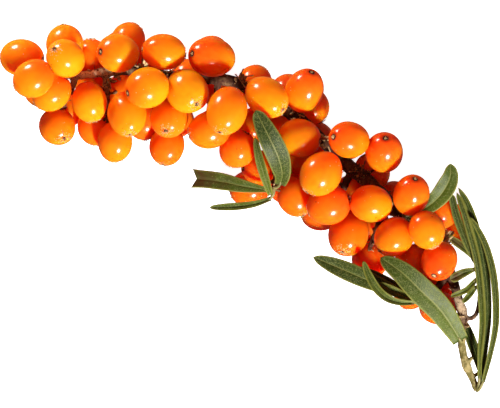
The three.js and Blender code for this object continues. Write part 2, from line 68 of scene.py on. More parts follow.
def curvePoint(points, share):  # smooth curve through all points, centripetal
    last = len(points) - 1
    index = min(int(share * last), last - 1)
    part = share * last - index
    p1, p2 = points[index], points[index + 1]
    p0 = points[index - 1] if index > 0 else 2 * p1 - p2
    p3 = points[index + 2] if index + 2 <= last else 2 * p2 - p1
    d0, d1, d2 = (math.sqrt(np.linalg.norm(b - a)) for a, b in ((p0, p1), (p1, p2), (p2, p3)))
    leave = ((p1 - p0) / d0 - (p2 - p0) / (d0 + d1) + (p2 - p1) / d1) * d1
    arrive = ((p2 - p1) / d1 - (p3 - p1) / (d1 + d2) + (p3 - p2) / d2) * d1
    square = 3 * (p2 - p1) - 2 * leave - arrive
    cube = 2 * (p1 - p2) + leave + arrive
    return p1 + part * (leave + part * (square + part * cube))


def curveHeading(points, share, reach=1e-4):
    ahead = curvePoint(points, min(share + reach, 1.0))
    return unit(ahead - curvePoint(points, max(share - reach, 0.0)))


def evenShares(points, shares, pieces=200):  # curve shares that are even in length
    line = np.array([curvePoint(points, step / pieces) for step in range(pieces + 1)])
    lengths = np.concatenate([[0], np.cumsum(np.linalg.norm(np.diff(line, axis=0), axis=1))])
    return np.interp(np.asarray(shares) * lengths[-1], lengths, np.linspace(0, 1, pieces + 1))


# Plan of the wood: right, across, height over the twig's axis

twigPlan = {
    "height": 12.6,  # axis over the surface
    "radii": (0.8, 1.25, 1.5, 0.95, 0.8),  # tip to cut end
    "steps": 48,
    "route": (
        (-47.7, 31.1, 0), (-40.1, 30.4, 0), (-33.2, 31.1, 0.3), (-26.3, 31.5, 0.3),
        (-18.3, 30.4, 0), (-10.2, 29.7, 0), (-3.1, 28.8, 0), (2.9, 24.6, 0),
        (9.3, 21.6, 0), (16.7, 15.4, 0), (22, 10.1, 0.4), (27.7, 5.5, 0.4),
        (34.6, -1.8, 0), (41.5, -8.7, 0), (45.7, -14.5, 0), (48, -21.2, 0),
        (49.1, -25.5, -0.2), (48.6, -29.4, -0.6), (48.9, -32.2, -0.9), (49.3, -34.7, -1.2),
        (50.3, -37.5, -1.5), (51.4, -39.8, -1.7), (52.3, -42.1, -1.8),
    ),
}

spurPlan = {
    "steps": 6,
    "fruiting": {
        "radii": (0.95, 0.55),
        "routes": (
            ((-40.1, 30.4, 0), (-41.3, 26.9, -0.8), (-43.1, 23.7, -1)),
            ((-33.2, 31.1, 0), (-33, 26.5, -1), (-32.8, 20.5, -1.5)),
            ((-22.9, 31.1, 0), (-22.2, 25.8, -1.2), (-21.3, 19.1, -1.5)),
            ((-7.2, 29.4, 0), (-7.7, 25.5, -1.2), (-6.8, 19.6, -1.5)),
            ((11.6, 19.8, 0), (8.4, 13.1, -0.5), (6.2, 7.5, 0.8), (5.4, 4.6, 2)),
            ((23.6, 9, 0), (20.8, 2.8, -1), (19, -1.8, -1.5)),
            ((31.2, 1.8, 0), (29.6, -4.1, -1), (27.7, -9, -1.5)),
            ((45.2, -14, 0), (43.8, -17.5, 0.7), (41.1, -20.2, 1.2), (38.9, -21.1, 1.4)),
        ),
    },
    "thorn": {"radii": (0.7, 0.15), "routes": (((25.9, 6.9, 0), (28.9, 9, 1.6)),)},
    "shoot": {
        "radii": (0.55, 0.4),
        "routes": (
            (
                (48.9, -25.1, 0), (50.9, -25.5, 0), (52.2, -23.9, -0.2),
                (52.7, -20.2, -0.3), (52.6, -16.3, -0.3), (51.8, -12.6, -0.2),
            ),
        ),
    },
    "stub": {"radii": (0.6, 0.4), "routes": (((49.8, -36.1, -1.3), (51.2, -34.5, -1)),)},
}


def stemSamples(route, radii, steps):
    points = [np.array((x, y, twigPlan["height"] + rise)) for x, y, rise in route]
    return [
        SimpleNamespace(
            place=curvePoint(points, step / steps),
            heading=curveHeading(points, step / steps),
            radius=readAlong(radii, step / steps),
        )
        for step in range(steps + 1)
    ]


def allStems(twigSteps, spurSteps):  # the twig first, then the fruiting spurs, then the rest
    stems = [stemSamples(twigPlan["route"], twigPlan["radii"], twigSteps)]
    for kind in ("fruiting", "thorn", "shoot", "stub"):
        for route in spurPlan[kind]["routes"]:
            stems.append(stemSamples(route, spurPlan[kind]["radii"], spurSteps))
    return stems


def nearestSample(stems, place, inPlan=False):
    width = 2 if inPlan else 3
    samples = [sample for stem in stems for sample in stem]
    return min(samples, key=lambda sample: np.linalg.norm(sample.place[:width] - place[:width]))


stems = allStems(twigPlan["steps"], spurPlan["steps"])
fruiting = stems[:1 + len(spurPlan["fruiting"]["routes"])]

# Plan of the leaves: midrib from base to tip over the surface, widths at base, widest place and tip,
# where the widest place is, roll in degrees at base and tip, and how far the edges fold up;
# silver is how scaly the blade is, shade how dark, partly painted shade for blades folded or in shadow,
# brown how withered; a notch cuts into the tip; roll and brown are 0 where they are not given

leafPlan = {
    "steps": 9,
    "clear": 0.62,  # room kept round a blade
    "tipFullness": 0.7,
    "blades": (
        dict(node="leaf_mid_broad", widths=(2.4, 5.3, 1.6), widest=0.52, fold=0.12, silver=0.42,
             shade=0.55, rib=((6.9, 5.2, 16), (7.4, 7.4, 18.5), (6.7, 10.9, 22.2), (5.3, 14.2, 24.2),
             (3.9, 17, 24.9), (1.3, 22.2, 25))),
        dict(node="leaf_mid_narrow", widths=(1.2, 2.1, 0.7), widest=0.5, fold=0.5, silver=0.45,
             shade=0.25, rib=((4.7, 2.9, 15.4), (3.6, 6.2, 17.8), (2.4, 10.1, 19.6), (1.7, 13.1, 20),
             (1.2, 16, 19.6))),
        dict(node="leaf_mid_notched", widths=(1.2, 4.1, 4.5), widest=0.75, roll=(0, 8), fold=0.1,
             notch=1.1, silver=0.25, shade=0.35, brown=0.6, rib=((3.9, 4, 14.6), (-1, 4.8, 14.6),
             (-5.6, 5.8, 14.4), (-9.5, 6.4, 14.2), (-13.4, 6.7, 14))),
        dict(node="leaf_mid_lower", widths=(1, 1.8, 0.6), widest=0.6, roll=(10, 0), fold=0.2,
             silver=0.5, shade=0.2, rib=((4.7, 2, 14), (1.3, 0.9, 13.4), (-2.6, 0.3, 12.6),
             (-6.3, 0.1, 12), (-9.3, 0, 11.6))),
        dict(node="leaf_upper_right", widths=(1.2, 4.5, 0.8), widest=0.66, roll=(0, 10), fold=0.2,
             silver=0.3, shade=0.2, rib=((36.2, -2, 14.4), (38.8, -0.9, 15), (41.5, 0.7, 15.8),
             (44, 3.2, 17), (45.9, 6.9, 18), (46.1, 10.1, 18.2))),
        dict(node="leaf_bundle_inner", widths=(1, 1.9, 1.4), widest=0.6, roll=(-15, -15), fold=0.3,
             silver=0.3, shade=0.55, rib=((51.6, -12.3, 13.6), (50.5, -9.9, 13.9), (48.9, -5.8, 14.2),
             (47.5, -1.8, 14.4), (46.3, 3, 14.6))),
        dict(node="leaf_bundle_middle", widths=(0.9, 1.6, 1.1), widest=0.62, roll=(0, -10),
             fold=0.35, silver=0.3, shade=0.45, rib=((52.8, -39.3, 13.4), (52.9, -32.9, 13.8),
             (53.4, -26, 14), (52.9, -17.9, 14.2), (51.9, -11, 15), (50.5, -5.8, 15.5),
             (49.1, -0.9, 15.9), (47.5, 3.5, 15.9))),
        dict(node="leaf_bundle_back", widths=(0.9, 1.9, 0.9), widest=0.7, fold=0.35, silver=0.2,
             shade=0.75, rib=((53.1, -40.5, 12.3), (54.1, -32.9, 12.4), (54.8, -24.8, 12.6),
             (54.4, -16.8, 12.9), (53.2, -9.4, 13.3), (51.6, -3.5, 13.7), (50, 0.9, 14),
             (47.9, 4.6, 14))),
        dict(node="leaf_bundle_outer", widths=(0.9, 1.7, 0.7), widest=0.6, fold=0.3, silver=0.3,
             shade=0.5, rib=((53.6, -40.2, 13.5), (55.2, -34, 13.6), (56.5, -27.1, 13.8),
             (56.5, -20.7, 14), (55.8, -14.5, 14.4), (54.2, -8.7, 14.9), (52.3, -4.8, 15.2),
             (50.5, -2.1, 15.3))),
        dict(node="leaf_behind_upper", widths=(1, 1.8, 0.9), widest=0.6, fold=0.15, silver=0.1,
             shade=0.5, brown=0.8, rib=((51.1, -11.3, 12.6), (49.3, -9.4, 12.5), (45.7, -6.7, 12.3))),
        dict(node="leaf_behind_middle", widths=(0.9, 2.2, 1.1), widest=0.75, fold=0.15, silver=0.1,
             shade=0.4, brown=0.7, rib=((51.7, -14.2, 13.7), (49.3, -15, 14.6), (46.1, -16.6, 15.2))),
        dict(node="leaf_behind_lower", widths=(1, 1.4, 0.7), widest=0.4, fold=0.2, silver=0.2,
             shade=0.2, brown=0.15, rib=((52, -16.6, 13.6), (49.8, -18.9, 14.7), (46.2, -20.4, 15.3))),
        dict(node="leaf_behind_lobe", widths=(1, 1.4, 0.7), widest=0.5, fold=0.2, silver=0.2,
             shade=0.2, brown=0.1, rib=((52, -18.1, 13.3), (50.5, -20.1, 13.6), (49, -21.8, 14.3))),
        dict(node="leaf_front_large", widths=(3.8, 6.2, 1.6), widest=0.5, fold=0.12, silver=0.5,
             shade=0.3, rib=((48.4, -30.6, 14.2), (46.1, -26.9, 16.6), (43.4, -23.2, 19.2),
             (39.2, -19.1, 21.8), (34.6, -14.7, 22.8), (29.9, -11.5, 22))),
        dict(node="leaf_twig_dark", widths=(1, 2.4, 0.9), widest=0.55, fold=0.2, silver=0.1,
             shade=0.7, rib=((52.9, -37.6, 11.2), (52.1, -34, 10.6), (50.7, -29.9, 10.1),
             (49.4, -26.2, 9.9))),
        dict(node="leaf_low_broad", widths=(1, 4.4, 0.6), widest=0.6, fold=0.12, silver=0.4,
             shade=0.5, rib=((37.2, -21, 13), (33.5, -19.4, 12.9), (26.8, -16.6, 12.8), (20.8, -14, 12.5),
             (14.5, -11.4, 12))),
        dict(node="leaf_low_folded", widths=(0.9, 2, 0.7), widest=0.6, fold=0.5, silver=0.35,
             shade=0.3, rib=((37.8, -21.9, 15.4), (35.1, -21.9, 15.6), (31.9, -21, 15.8),
             (29.3, -18.9, 16), (27.3, -15.6, 16.2), (26, -12.3, 16.4))),
        dict(node="leaf_low_silver", widths=(0.9, 2.2, 0.8), widest=0.55, fold=0.1, silver=0.95,
             shade=0.1, rib=((38.2, -21.6, 14.5), (34.2, -19.8, 14.4), (29.6, -17.5, 14.3))),
        dict(node="leaf_low_dry", widths=(0.9, 1.8, 0.8), widest=0.6, fold=0.15, silver=0.05,
             shade=0.8, brown=0.8, rib=((36.5, -20.3, 11.5), (33.2, -17.7, 11.6), (29.1, -15.6, 11.5),
             (24.5, -13.8, 11.4))),
    ),
}


def bladeHalfWidth(leaf, share):
    base, most, tip = leaf["widths"]
    widest = leaf["widest"]
    if share < widest:
        return (base + (most - base) * math.sin(math.pi / 2 * share / widest)) / 2
    left = 1 - ((share - widest) / (1 - widest)) ** 2
    return (tip + (most - tip) * left ** leafPlan["tipFullness"]) / 2


def bladeFrames(leaf, steps):  # place, heading, aside and over at even steps along the midrib
    points = [np.array(point, float) for point in leaf["rib"]]
    frames = []
    for step, share in enumerate(evenShares(points, np.linspace(0, 1, steps + 1))):
        heading = curveHeading(points, share)
        level = unit(np.array((-heading[1], heading[0], 0.0)))
        roll = math.radians(readAlong(leaf.get("roll", (0, 0)), step / steps))
        aside = level * math.cos(roll) + np.cross(heading, level) * math.sin(roll)
        frames.append((curvePoint(points, share), heading, aside, np.cross(heading, aside)))
    return frames


def bladePlaces(leaf, steps, sides):  # the upper face, row by row
    rows = []
    for step, (place, heading, aside, over) in enumerate(bladeFrames(leaf, steps)):
        half = bladeHalfWidth(leaf, step / steps)
        notch = leaf.get("notch", 0) if step == steps else 0
        for side in sides:
            lift = abs(side) * half * leaf["fold"]
            rows.append(place + aside * side * half + over * lift - heading * notch * (1 - abs(side)))
    return rows


# Plan of the berries, bunch by bunch from the tip: right, across, where each sits round its stem from
# 1 on top to -1 beneath, width, length, and in degrees where its eye points: bearing and rise

berryPlan = {
    "seed": 17,
    "reach": 8.4,  # from the stem's axis to the berry's middle
    "radius": 4.1,  # of a berry on the underside
    "spread": 0.2,
    "stretch": 1.08,  # length over width of such a berry
    "flat": 0.45,  # pressed flat where it lies
    "hiddenStep": 6.5,
    "hiddenTurns": (-130, -110, -90, -70, -50),
    "hiddenStray": 9,
    "hiddenClear": 0.78,
    "hiddenCover": 3.1,
    "bunches": (
        ((-52.4, 34.4, -0.5, 8.6, 10.3, 175, -15), (-49.4, 29.5, 0.4, 8.6, 9.8, 210, -10),
         (-42.3, 37.4, -0.4, 8.6, 9.2, 100, -10), (-42.4, 34.2, 0.9, 8.6, 10, 140, 50),
         (-45.4, 26.6, 0.7, 8.4, 9.6, 225, -10), (-44, 19.5, 0, 8.4, 9.4, 300, 45),
         (-41.2, 23, -1, 7.8, 8.2, 250, -10)),
        ((-36.7, 33.5, -0.3, 8.2, 8.8, 90, 0), (-30.1, 35.4, 0.8, 8.9, 10.3, -4, -38),
         (-28.1, 38.4, -0.3, 8, 8.6, 60, -10), (-37.1, 24.5, 0.8, 8.1, 9.6, 282, 0),
         (-36, 18.8, -0.3, 8, 8.8, 285, -10), (-31.1, 15.7, 0.1, 8.1, 9.5, 272, -15),
         (-28.2, 21.3, 0.6, 9, 11, 280, 28), (-36.2, 28.4, -1, 8, 8.6, 250, -10),
         (-30, 27.6, -1, 8, 8.6, 250, -10)),
        ((-20, 35.8, 0.5, 8.4, 10.3, -8, -10), (-23.6, 27.3, 1, 9.5, 10.4, 16, -24),
         (-24.2, 19.9, -0.6, 8.2, 8.8, 270, -10), (-18.5, 20.6, 0.6, 8.8, 10.4, 256, 52),
         (-19.5, 15, 0.1, 8.1, 9.4, 260, 15), (-14, 26.7, 0.9, 9.7, 11.2, 306, 45),
         (-13.6, 29.8, -0.5, 8.2, 9, 120, -10), (-25, 32.3, -1, 8, 8.6, 90, -10)),
        ((-8.9, 34.2, 0.8, 9.2, 11.6, -10, -36), (-5.7, 22.3, 0.8, 9.4, 11.7, 253, 26),
         (-8.7, 17.7, 0.2, 8.6, 10.1, 195, 10), (-2.6, 13.3, -0.5, 8.4, 9, 240, -10),
         (1.4, 28.4, -0.3, 8.2, 9, 70, 0), (4.1, 25.3, 0.8, 9, 11.2, 323, 30),
         (0.8, 18.6, -1, 8, 8.6, 250, -10), (-7.6, 27, -1, 7.8, 8.2, 250, -10)),
        ((2.4, 8.6, 0.25, 8.4, 9.2, 0, -20), (1, 5.1, -0.5, 8.6, 9.4, 190, -10),
         (12.1, 26.8, 0.8, 8.8, 11.1, 248, -35), (14, 23.4, -0.3, 8.2, 8.8, 300, -10),
         (11.3, 15.8, 0.8, 9, 10, 172, -10), (15.1, 15.6, -0.5, 8.2, 9, 330, -10),
         (9.4, 3.6, 0, 8.5, 10.1, 294, 10), (11.4, 10.9, -0.9, 7.6, 8, 250, -10),
         (7.3, 18.8, -0.9, 8.2, 8.8, 120, -10)),
        ((23, 15.5, 0.6, 8.5, 10.2, -10, -42), (30.5, 12.7, 0.6, 8.7, 10.6, 265, -52),
         (16.3, 7.6, 0.9, 9.4, 10.9, 232, 10), (18.1, 0.7, 0.3, 9.2, 10.2, 200, -10),
         (16.6, -1, -0.3, 8.6, 9.4, 190, 12), (28.1, 0.6, 0.9, 8.6, 10, -10, -10),
         (27.4, 6.8, -0.5, 8.2, 8.8, 300, -10), (23.6, 4.4, -0.7, 8.2, 8.8, 250, -20)),
        ((36.9, 2.9, 0.9, 8.3, 10.7, 257, -42), (22.6, -6, 0.5, 9.4, 11.4, 250, 35),
         (32.9, -7.4, 0.7, 8.7, 9.7, 224, 12), (40.6, -5.3, 1, 8.2, 9.1, 298, 12),
         (44.2, -0.9, -0.1, 8.4, 9, 270, -10), (48.3, -3.4, -0.5, 8.2, 8.8, 300, -10),
         (27.6, -11.4, -0.4, 8.4, 9.2, 280, -10), (28.1, -4.5, -0.9, 8.2, 8.8, 250, -10)),
        ((43, -12.7, 0.6, 8.3, 10, 70, -42), (36.8, -12.7, 0.2, 8.4, 9.2, 240, -10),
         (42.8, -18.3, -0.8, 8.2, 9, 300, -10), (43.6, -22.3, -0.3, 8, 8.8, 180, 25),
         (38.2, -19.5, -0.6, 7.8, 8.4, 250, -10)),
    ),
}

pressPlan = {
    "rounds": 200,
    "looseRounds": 50,  # last ones, in which berries are only pushed apart
    "pressed": 0.95,  # share of touching distance inside a bunch
    "nearTouch": 1.22,
    "drawTogether": 0.2,
    "bunchGap": 0.5,
    "pieceGap": 0.7,
    "seenGive": 0.05,
    "hiddenGive": 0.5,
    "goBack": (0.15, 0.15, 0.02),  # share of the way back to the plan: right, across, up
    "farBerry": 3.0,  # beyond this gap nothing is pushed
    "farPiece": 1.0,
}


def newBerry(draw, place, bunch, seen, width, length, axis):
    spin = 2 * math.pi * draw()
    return SimpleNamespace(
        place=[float(value) for value in place], planned=tuple(place), bunch=bunch, seen=seen,
        radius=width / 2, half=length / 2, axis=axis, spin=spin,
    )


def direction(bearing, rise):
    turn, lift = math.radians(bearing), math.radians(rise)
    return np.array((math.cos(lift) * math.cos(turn), math.cos(lift) * math.sin(turn), math.sin(lift)))


def reachAlong(berry, step, away):  # how far an oval berry reaches along a step from its middle
    ax, ay, az = berry.axis
    share = ((ax * step[0] + ay * step[1] + az * step[2]) / away) ** 2
    return math.sqrt(berry.half ** 2 * share + berry.radius ** 2 * (1 - share))


def seenBerries(draw):
    berries = []
    for bunch, rows in enumerate(berryPlan["bunches"]):
        for x, y, turn, width, length, bearing, rise in rows:
            near = nearestSample(fruiting, np.array((x, y)), inPlan=True)
            away = math.dist((x, y), near.place[:2])
            height = near.place[2] + turn * math.sqrt(max(0, berryPlan["reach"] ** 2 - away ** 2))
            axis = direction(bearing, rise)
            berries.append(newBerry(draw, (x, y, height), bunch, True, width, length, axis))
    return berries


def stationsAlong(stem):
    length = sum(np.linalg.norm(b.place - a.place) for a, b in zip(stem, stem[1:]))
    count = max(1, int(length / berryPlan["hiddenStep"] + 0.5))
    return [stem[int(station / count * (len(stem) - 1) + 0.5)] for station in range(count + 1)]


def addHiddenBerries(draw, seen):  # underneath, where there is room and a seen berry covers them
    plan = berryPlan
    berries = list(seen)
    room = plan["hiddenClear"] * 2 * plan["radius"]
    for sample in [sample for stem in fruiting for sample in stationsAlong(stem)]:
        aside = unit(np.array((-sample.heading[1], sample.heading[0], 0.0)))
        for turn in plan["hiddenTurns"]:
            angle = math.radians(turn + plan["hiddenStray"] * (2 * draw() - 1))
            place = sample.place + aside * plan["reach"] * math.cos(angle)
            place[2] += plan["reach"] * math.sin(angle)
            clear = all(math.dist(berry.place, place) > room for berry in berries)
            covered = any(math.dist(berry.place[:2], place[:2]) < plan["hiddenCover"] for berry in seen)
            if clear and covered:
                near = min(seen, key=lambda berry: math.dist(berry.place, place))
                width = 2 * (plan["radius"] + plan["spread"] * (2 * draw() - 1))
                axis = unit(place - sample.place)
                length = width * plan["stretch"]
                berries.append(newBerry(draw, place, near.bunch, False, width, length, axis))
    return berries


def nudge(berry, step, share):
    give = pressPlan["seenGive"] if berry.seen else pressPlan["hiddenGive"]
    berry.place[0] += step[0] * share * give
    berry.place[1] += step[1] * share * give
    berry.place[2] += step[2] * share


def pushPair(a, b, held):
    plan = pressPlan
    step = [q - p for p, q in zip(a.place, b.place)]
    away = math.hypot(*step)
    if away > a.half + b.half + plan["farBerry"]:
        return
    reach = reachAlong(a, step, away) + reachAlong(b, step, away)
    together = a.bunch == b.bunch
    wanted = plan["pressed"] * reach if together else reach + plan["bunchGap"]
    if away < wanted:
        share = 0.5  # each berry gives half of it
    elif held and together and away < plan["nearTouch"] * reach:
        share = plan["drawTogether"]
    else:
        return
    pull = share * (away - wanted) / away
    nudge(a, step, pull)
    nudge(b, step, -pull)


def pressBerries(berries):  # the same settling as in the solids, so that both agree
    plan = pressPlan
    blades = [place for leaf in leafPlan["blades"]
              for place in bladePlaces(leaf, leafPlan["steps"], (-1, -0.5, 0, 0.5, 1))]
    wood = [sample for stem in stems for sample in stem]
    blocks = np.array([sample.place for sample in wood] + blades)
    widths = np.array([sample.radius for sample in wood] + [leafPlan["clear"]] * len(blades))
    room = widths + plan["pieceGap"]
    for turn in range(plan["rounds"]):
        held = turn < plan["rounds"] - plan["looseRounds"]
        for index, berry in enumerate(berries):
            for other in berries[index + 1:]:
                pushPair(berry, other, held)
            near = np.linalg.norm(blocks - berry.place, axis=1) < berry.half + room + plan["farPiece"]
            for block, kept in zip(blocks[near].tolist(), room[near].tolist()):
                step = [p - q for p, q in zip(berry.place, block)]
                away = math.hypot(*step)
                short = reachAlong(berry, step, away) + kept - away
                if short > 0:
                    nudge(berry, step, short / away)
            if held:
                for axis, share in enumerate(plan["goBack"]):
                    berry.place[axis] += (berry.planned[axis] - berry.place[axis]) * share
            berry.place[2] = max(berry.place[2], reachAlong(berry, (0, 0, 1), 1) - berryPlan["flat"])


def placeBerries():
    draw = drawer(berryPlan["seed"])
    berries = addHiddenBerries(draw, seenBerries(draw))
    pressBerries(berries)
    for berry in berries:
        berry.place = np.array(berry.place)
        berry.stem = nearestSample(stems, berry.place)
    return berries


berries = placeBerries()
print("berries placed:", len(berries))


# Material nodes

class Value:  # what a node gives out, so that sums of such values are written as sums
    def __init__(self, node, output=0):
        self.tree, self.socket = node.id_data, node.outputs[output]

    def calc(self, operation, *values):
        inputs = dict(enumerate(values))
        return Value(addNode(self.tree, "ShaderNodeMath", inputs, operation=operation))

    def __add__(self, other):
        return self.calc("ADD", self, other)

    def __sub__(self, other):
        return self.calc("SUBTRACT", self, other)

    def __rsub__(self, other):
        return self.calc("SUBTRACT", other, self)

    def __mul__(self, other):
        return self.calc("MULTIPLY", self, other)

    def __lt__(self, other):
        return self.calc("LESS_THAN", self, other)

    def __abs__(self):
        return self.calc("ABSOLUTE", self)

    def sine(self):
        return self.calc("SINE", self)


def setSockets(node, inputs):  # values are linked, numbers and colours stay on the socket
    for key, value in inputs.items():
        socket = node.inputs[key]
        if isinstance(value, Value):
            value.tree.links.new(value.socket, socket)
        else:
            socket.default_value = (*value, 1) if socket.type == "RGBA" else value


def addNode(tree, kind, inputs, **settings):
    node = tree.nodes.new(kind)
    for key, value in settings.items():
        setattr(node, key, value)
    setSockets(node, inputs)
    return node


def newMaterial(name):
    material = bpy.data.materials.new(name)
    material.use_nodes = True
    return material


def finished(material, inputs):
    setSockets(material.node_tree.nodes["Principled BSDF"], inputs)
    return material


def objectPlace(material):
    return Value(addNode(material.node_tree, "ShaderNodeTexCoord", {}), "Object")


def attribute(material, name):
    return Value(addNode(material.node_tree, "ShaderNodeAttribute", {}, attribute_name=name), "Fac")


def most(first, second):
    return first.calc("MAXIMUM", first, second)


def between(value, low, high):  # 0 at low, 1 at high, smooth
    inputs = {"Value": value, "From Min": low, "From Max": high}
    return Value(addNode(value.tree, "ShaderNodeMapRange", inputs, interpolation_type="SMOOTHSTEP"))


def mixed(share, first, second):
    inputs = {0: share, 6: first, 7: second}
    return Value(addNode(share.tree, "ShaderNodeMix", inputs, data_type="RGBA"), 2)


def noiseValue(place, scale, detail=3.0, rough=0.55):
    inputs = {"Vector": place, "Scale": scale, "Detail": detail, "Roughness": rough}
    return Value(addNode(place.tree, "ShaderNodeTexNoise", inputs))


def cells(place, scale):  # distance from the middle of each cell, and a value of its own
    node = addNode(place.tree, "ShaderNodeTexVoronoi", {"Vector": place, "Scale": scale})
    own = addNode(place.tree, "ShaderNodeSeparateColor", {0: Value(node, "Color")})
    return Value(node, "Distance"), Value(own)


def ramp(value, *stops):
    node = addNode(value.tree, "ShaderNodeValToRGB", {0: value})
    while len(node.color_ramp.elements) < len(stops):
        node.color_ramp.elements.new(1.0)
    for element, (place, colour) in zip(node.color_ramp.elements, stops):
        element.position = place
        element.color = (*colour, 1.0)
    return Value(node)


def bump(height, strength, distance):
    inputs = {"Height": height, "Strength": strength, "Distance": distance * mm}
    return Value(addNode(height.tree, "ShaderNodeBump", inputs))


# Pieces

def linked(name, data):
    item = bpy.data.objects.new(name, data)
    bpy.context.scene.collection.objects.link(item)
    return item


def meshObject(name, points, faces):
    mesh = bpy.data.meshes.new(name)
    mesh.from_pydata(np.asarray(points).tolist(), [], faces)
    return linked(name, mesh)


class Heap:  # points and faces of many small shapes, gathered for one piece
    def __init__(self):
        self.points, self.faces, self.values = [], [], {}

    def add(self, points, faces, **values):
        start = sum(len(part) for part in self.points)
        self.points.append(np.asarray(points))
        self.faces += [[start + corner for corner in face] for face in faces]
        for key, value in values.items():
            self.values.setdefault(key, []).append(np.broadcast_to(value, len(points)))

    def piece(self, name, material, slot, nodes=()):
        piece = meshObject(name, np.concatenate(self.points) * mm, self.faces)
        piece.data.shade_smooth()
        for key, parts in self.values.items():
            layer = piece.data.attributes.new(key, "FLOAT", "POINT")
            layer.data.foreach_set("value", np.concatenate(parts).astype(np.float32))
        piece.data.materials.append(material)
        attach(piece, "root")
        if nodes:
            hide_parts(*nodes)


def squareTo(axis):  # two directions square to an axis and to each other
    first = unit(np.cross(axis, (0.0, 0.0, 1.0) if abs(axis[2]) < 0.9 else (1.0, 0.0, 0.0)))
    return first, np.cross(axis, first)


def spoke(axis, angle):  # direction square to an axis, turned round it
    first, second = squareTo(axis)
    return first * math.cos(angle) + second * math.sin(angle)


def tube(places, radii, sides):  # closed round tube, with flat ends
    places = np.asarray(places, float)
    headings = np.gradient(places, axis=0)
    points = []
    aside = squareTo(unit(headings[0]))[0]
    for place, heading, radius in zip(places, headings, radii):
        heading = unit(heading)
        aside = unit(aside - heading * np.dot(aside, heading))
        over = np.cross(heading, aside)
        for side in range(sides):
            angle = 2 * math.pi * side / sides
            points.append(place + radius * (aside * math.cos(angle) + over * math.sin(angle)))
    faces = []
    for ring in range(len(places) - 1):
        for side in range(sides):
            low, high = ring * sides + side, ring * sides + (side + 1) % sides
            faces.append([low, high, high + sides, low + sides])
    faces.append(list(range(sides))[::-1])
    faces.append([(len(places) - 1) * sides + side for side in range(sides)])
    return np.array(points), faces


# Berries; scales of marks are in cells per metre

berryLook = {
    "around": 44,
    "down": 30,
    "closer": 0.09,  # rings draw together at both ends
    "lump": 0.007,  # unevenness, share of the radius
    "lumpWave": 3.5,
    "eye": {"dip": 0.02, "dipWidth": 0.2, "rise": 0.02, "riseWidth": 0.06},
    "hole": {"dip": 0.11, "dipWidth": 0.15, "rise": 0.02, "riseWidth": 0.34},
    "pressGap": 0.03,
    "yellow": (0.84, 0.285, 0.004),
    "orange": (0.84, 0.150, 0.003),
    "red": (0.80, 0.075, 0.004),
    # low: painted shade, berries that sit lower are made redder where shade falls among them
    "ripe": {"bunch": 0.07, "low": 0.65, "under": 20.0, "stray": 0.3, "middle": 0.65},  # under: a height
    "mottle": 190,
    "blush": {"from": 0.42, "to": 0.95, "strength": 0.42},  # redder to the stalk
    "dot": (0.10, 0.018, 0.004),
    "dots": {"scale": 380, "few": (0.72, 0.74), "size": (0.075, 0.045), "strength": 0.7},
    "fleck": (0.82, 0.42, 0.17),
    "flecks": {"scale": 3000, "size": (0.5, 0.25), "near": (0.19, 0.04), "crowd": 0.85, "stray": 0.006},
    "scar": (0.040, 0.012, 0.004),
    "scars": {"eye": (0.042, 0.026), "stalk": (0.935, 0.958), "fray": 0.05, "scale": 2300},
    "bruise": (0.42, 0.045, 0.006),
    "bruises": {"from": 0.88, "to": 0.95, "strength": 0.75},
    "glow": (1.0, 0.13, 0.04),  # how far each colour of light runs in the flesh
    "glowReach": 9.0 * mm,
    "grain": 700,
    "seed": 411,
}


def berrySkin():
    look = berryLook
    dots, flecks, scars = look["dots"], look["flecks"], look["scars"]
    material = newMaterial("berrySkin")
    place = objectPlace(material)
    down = attribute(material, "eyeToStalk")  # 0 at the eye, 1 at the stalk

    def towardStalk(plan):
        return between(down, plan["from"], plan["to"]) * plan["strength"]

    mottle = noiseValue(place, look["mottle"])
    # the ripeness attribute carries painted shade: lower berries are redder
    tone = attribute(material, "ripeness") * 0.8 + mottle * 0.2 + towardStalk(look["blush"])
    skin = ramp(tone, (0.1, look["yellow"]), (0.5, look["orange"]), (0.95, look["red"]))
    # dark dots scattered all over
    dotAway, dotOwn = cells(place, dots["scale"])
    dot = between(dotAway, *dots["size"]) * between(dotOwn, *dots["few"])
    skin = mixed(dot * dots["strength"], skin, look["dot"])
    # pale flecks that crowd round the eye
    fleckAway, fleckOwn = cells(place, flecks["scale"])
    crowd = between(down, *flecks["near"]) * flecks["crowd"] + flecks["stray"]
    fleck = between(fleckAway, *flecks["size"]) * (fleckOwn < crowd)
    skin = mixed(fleck * 0.85, skin, look["fleck"])
    # brown scars where the flower and the stalk were
    frayed = down + (noiseValue(place, scars["scale"]) - 0.5) * scars["fray"]
    scar = most(between(frayed, *scars["eye"]), between(frayed, *scars["stalk"]))
    skin = mixed(towardStalk(look["bruises"]), skin, look["bruise"])
    skin = mixed(scar, skin, look["scar"])
    return finished(material, {
        "Base Color": skin,
        "Roughness": most(mottle * 0.08 + 0.16, scar * 0.9),
        "Subsurface Weight": 1.0 - most(scar, most(fleck, dot)),  # marks are not hidden by the glow
        "Subsurface Radius": look["glow"],
        "Subsurface Scale": look["glowReach"],
        "IOR": 1.45,
        "Specular IOR Level": 0.36,
        "Normal": bump(noiseValue(place, look["grain"]), 0.1, 0.06),
    })


def bell(value, width):
    return np.exp(-(value / width) ** 2)


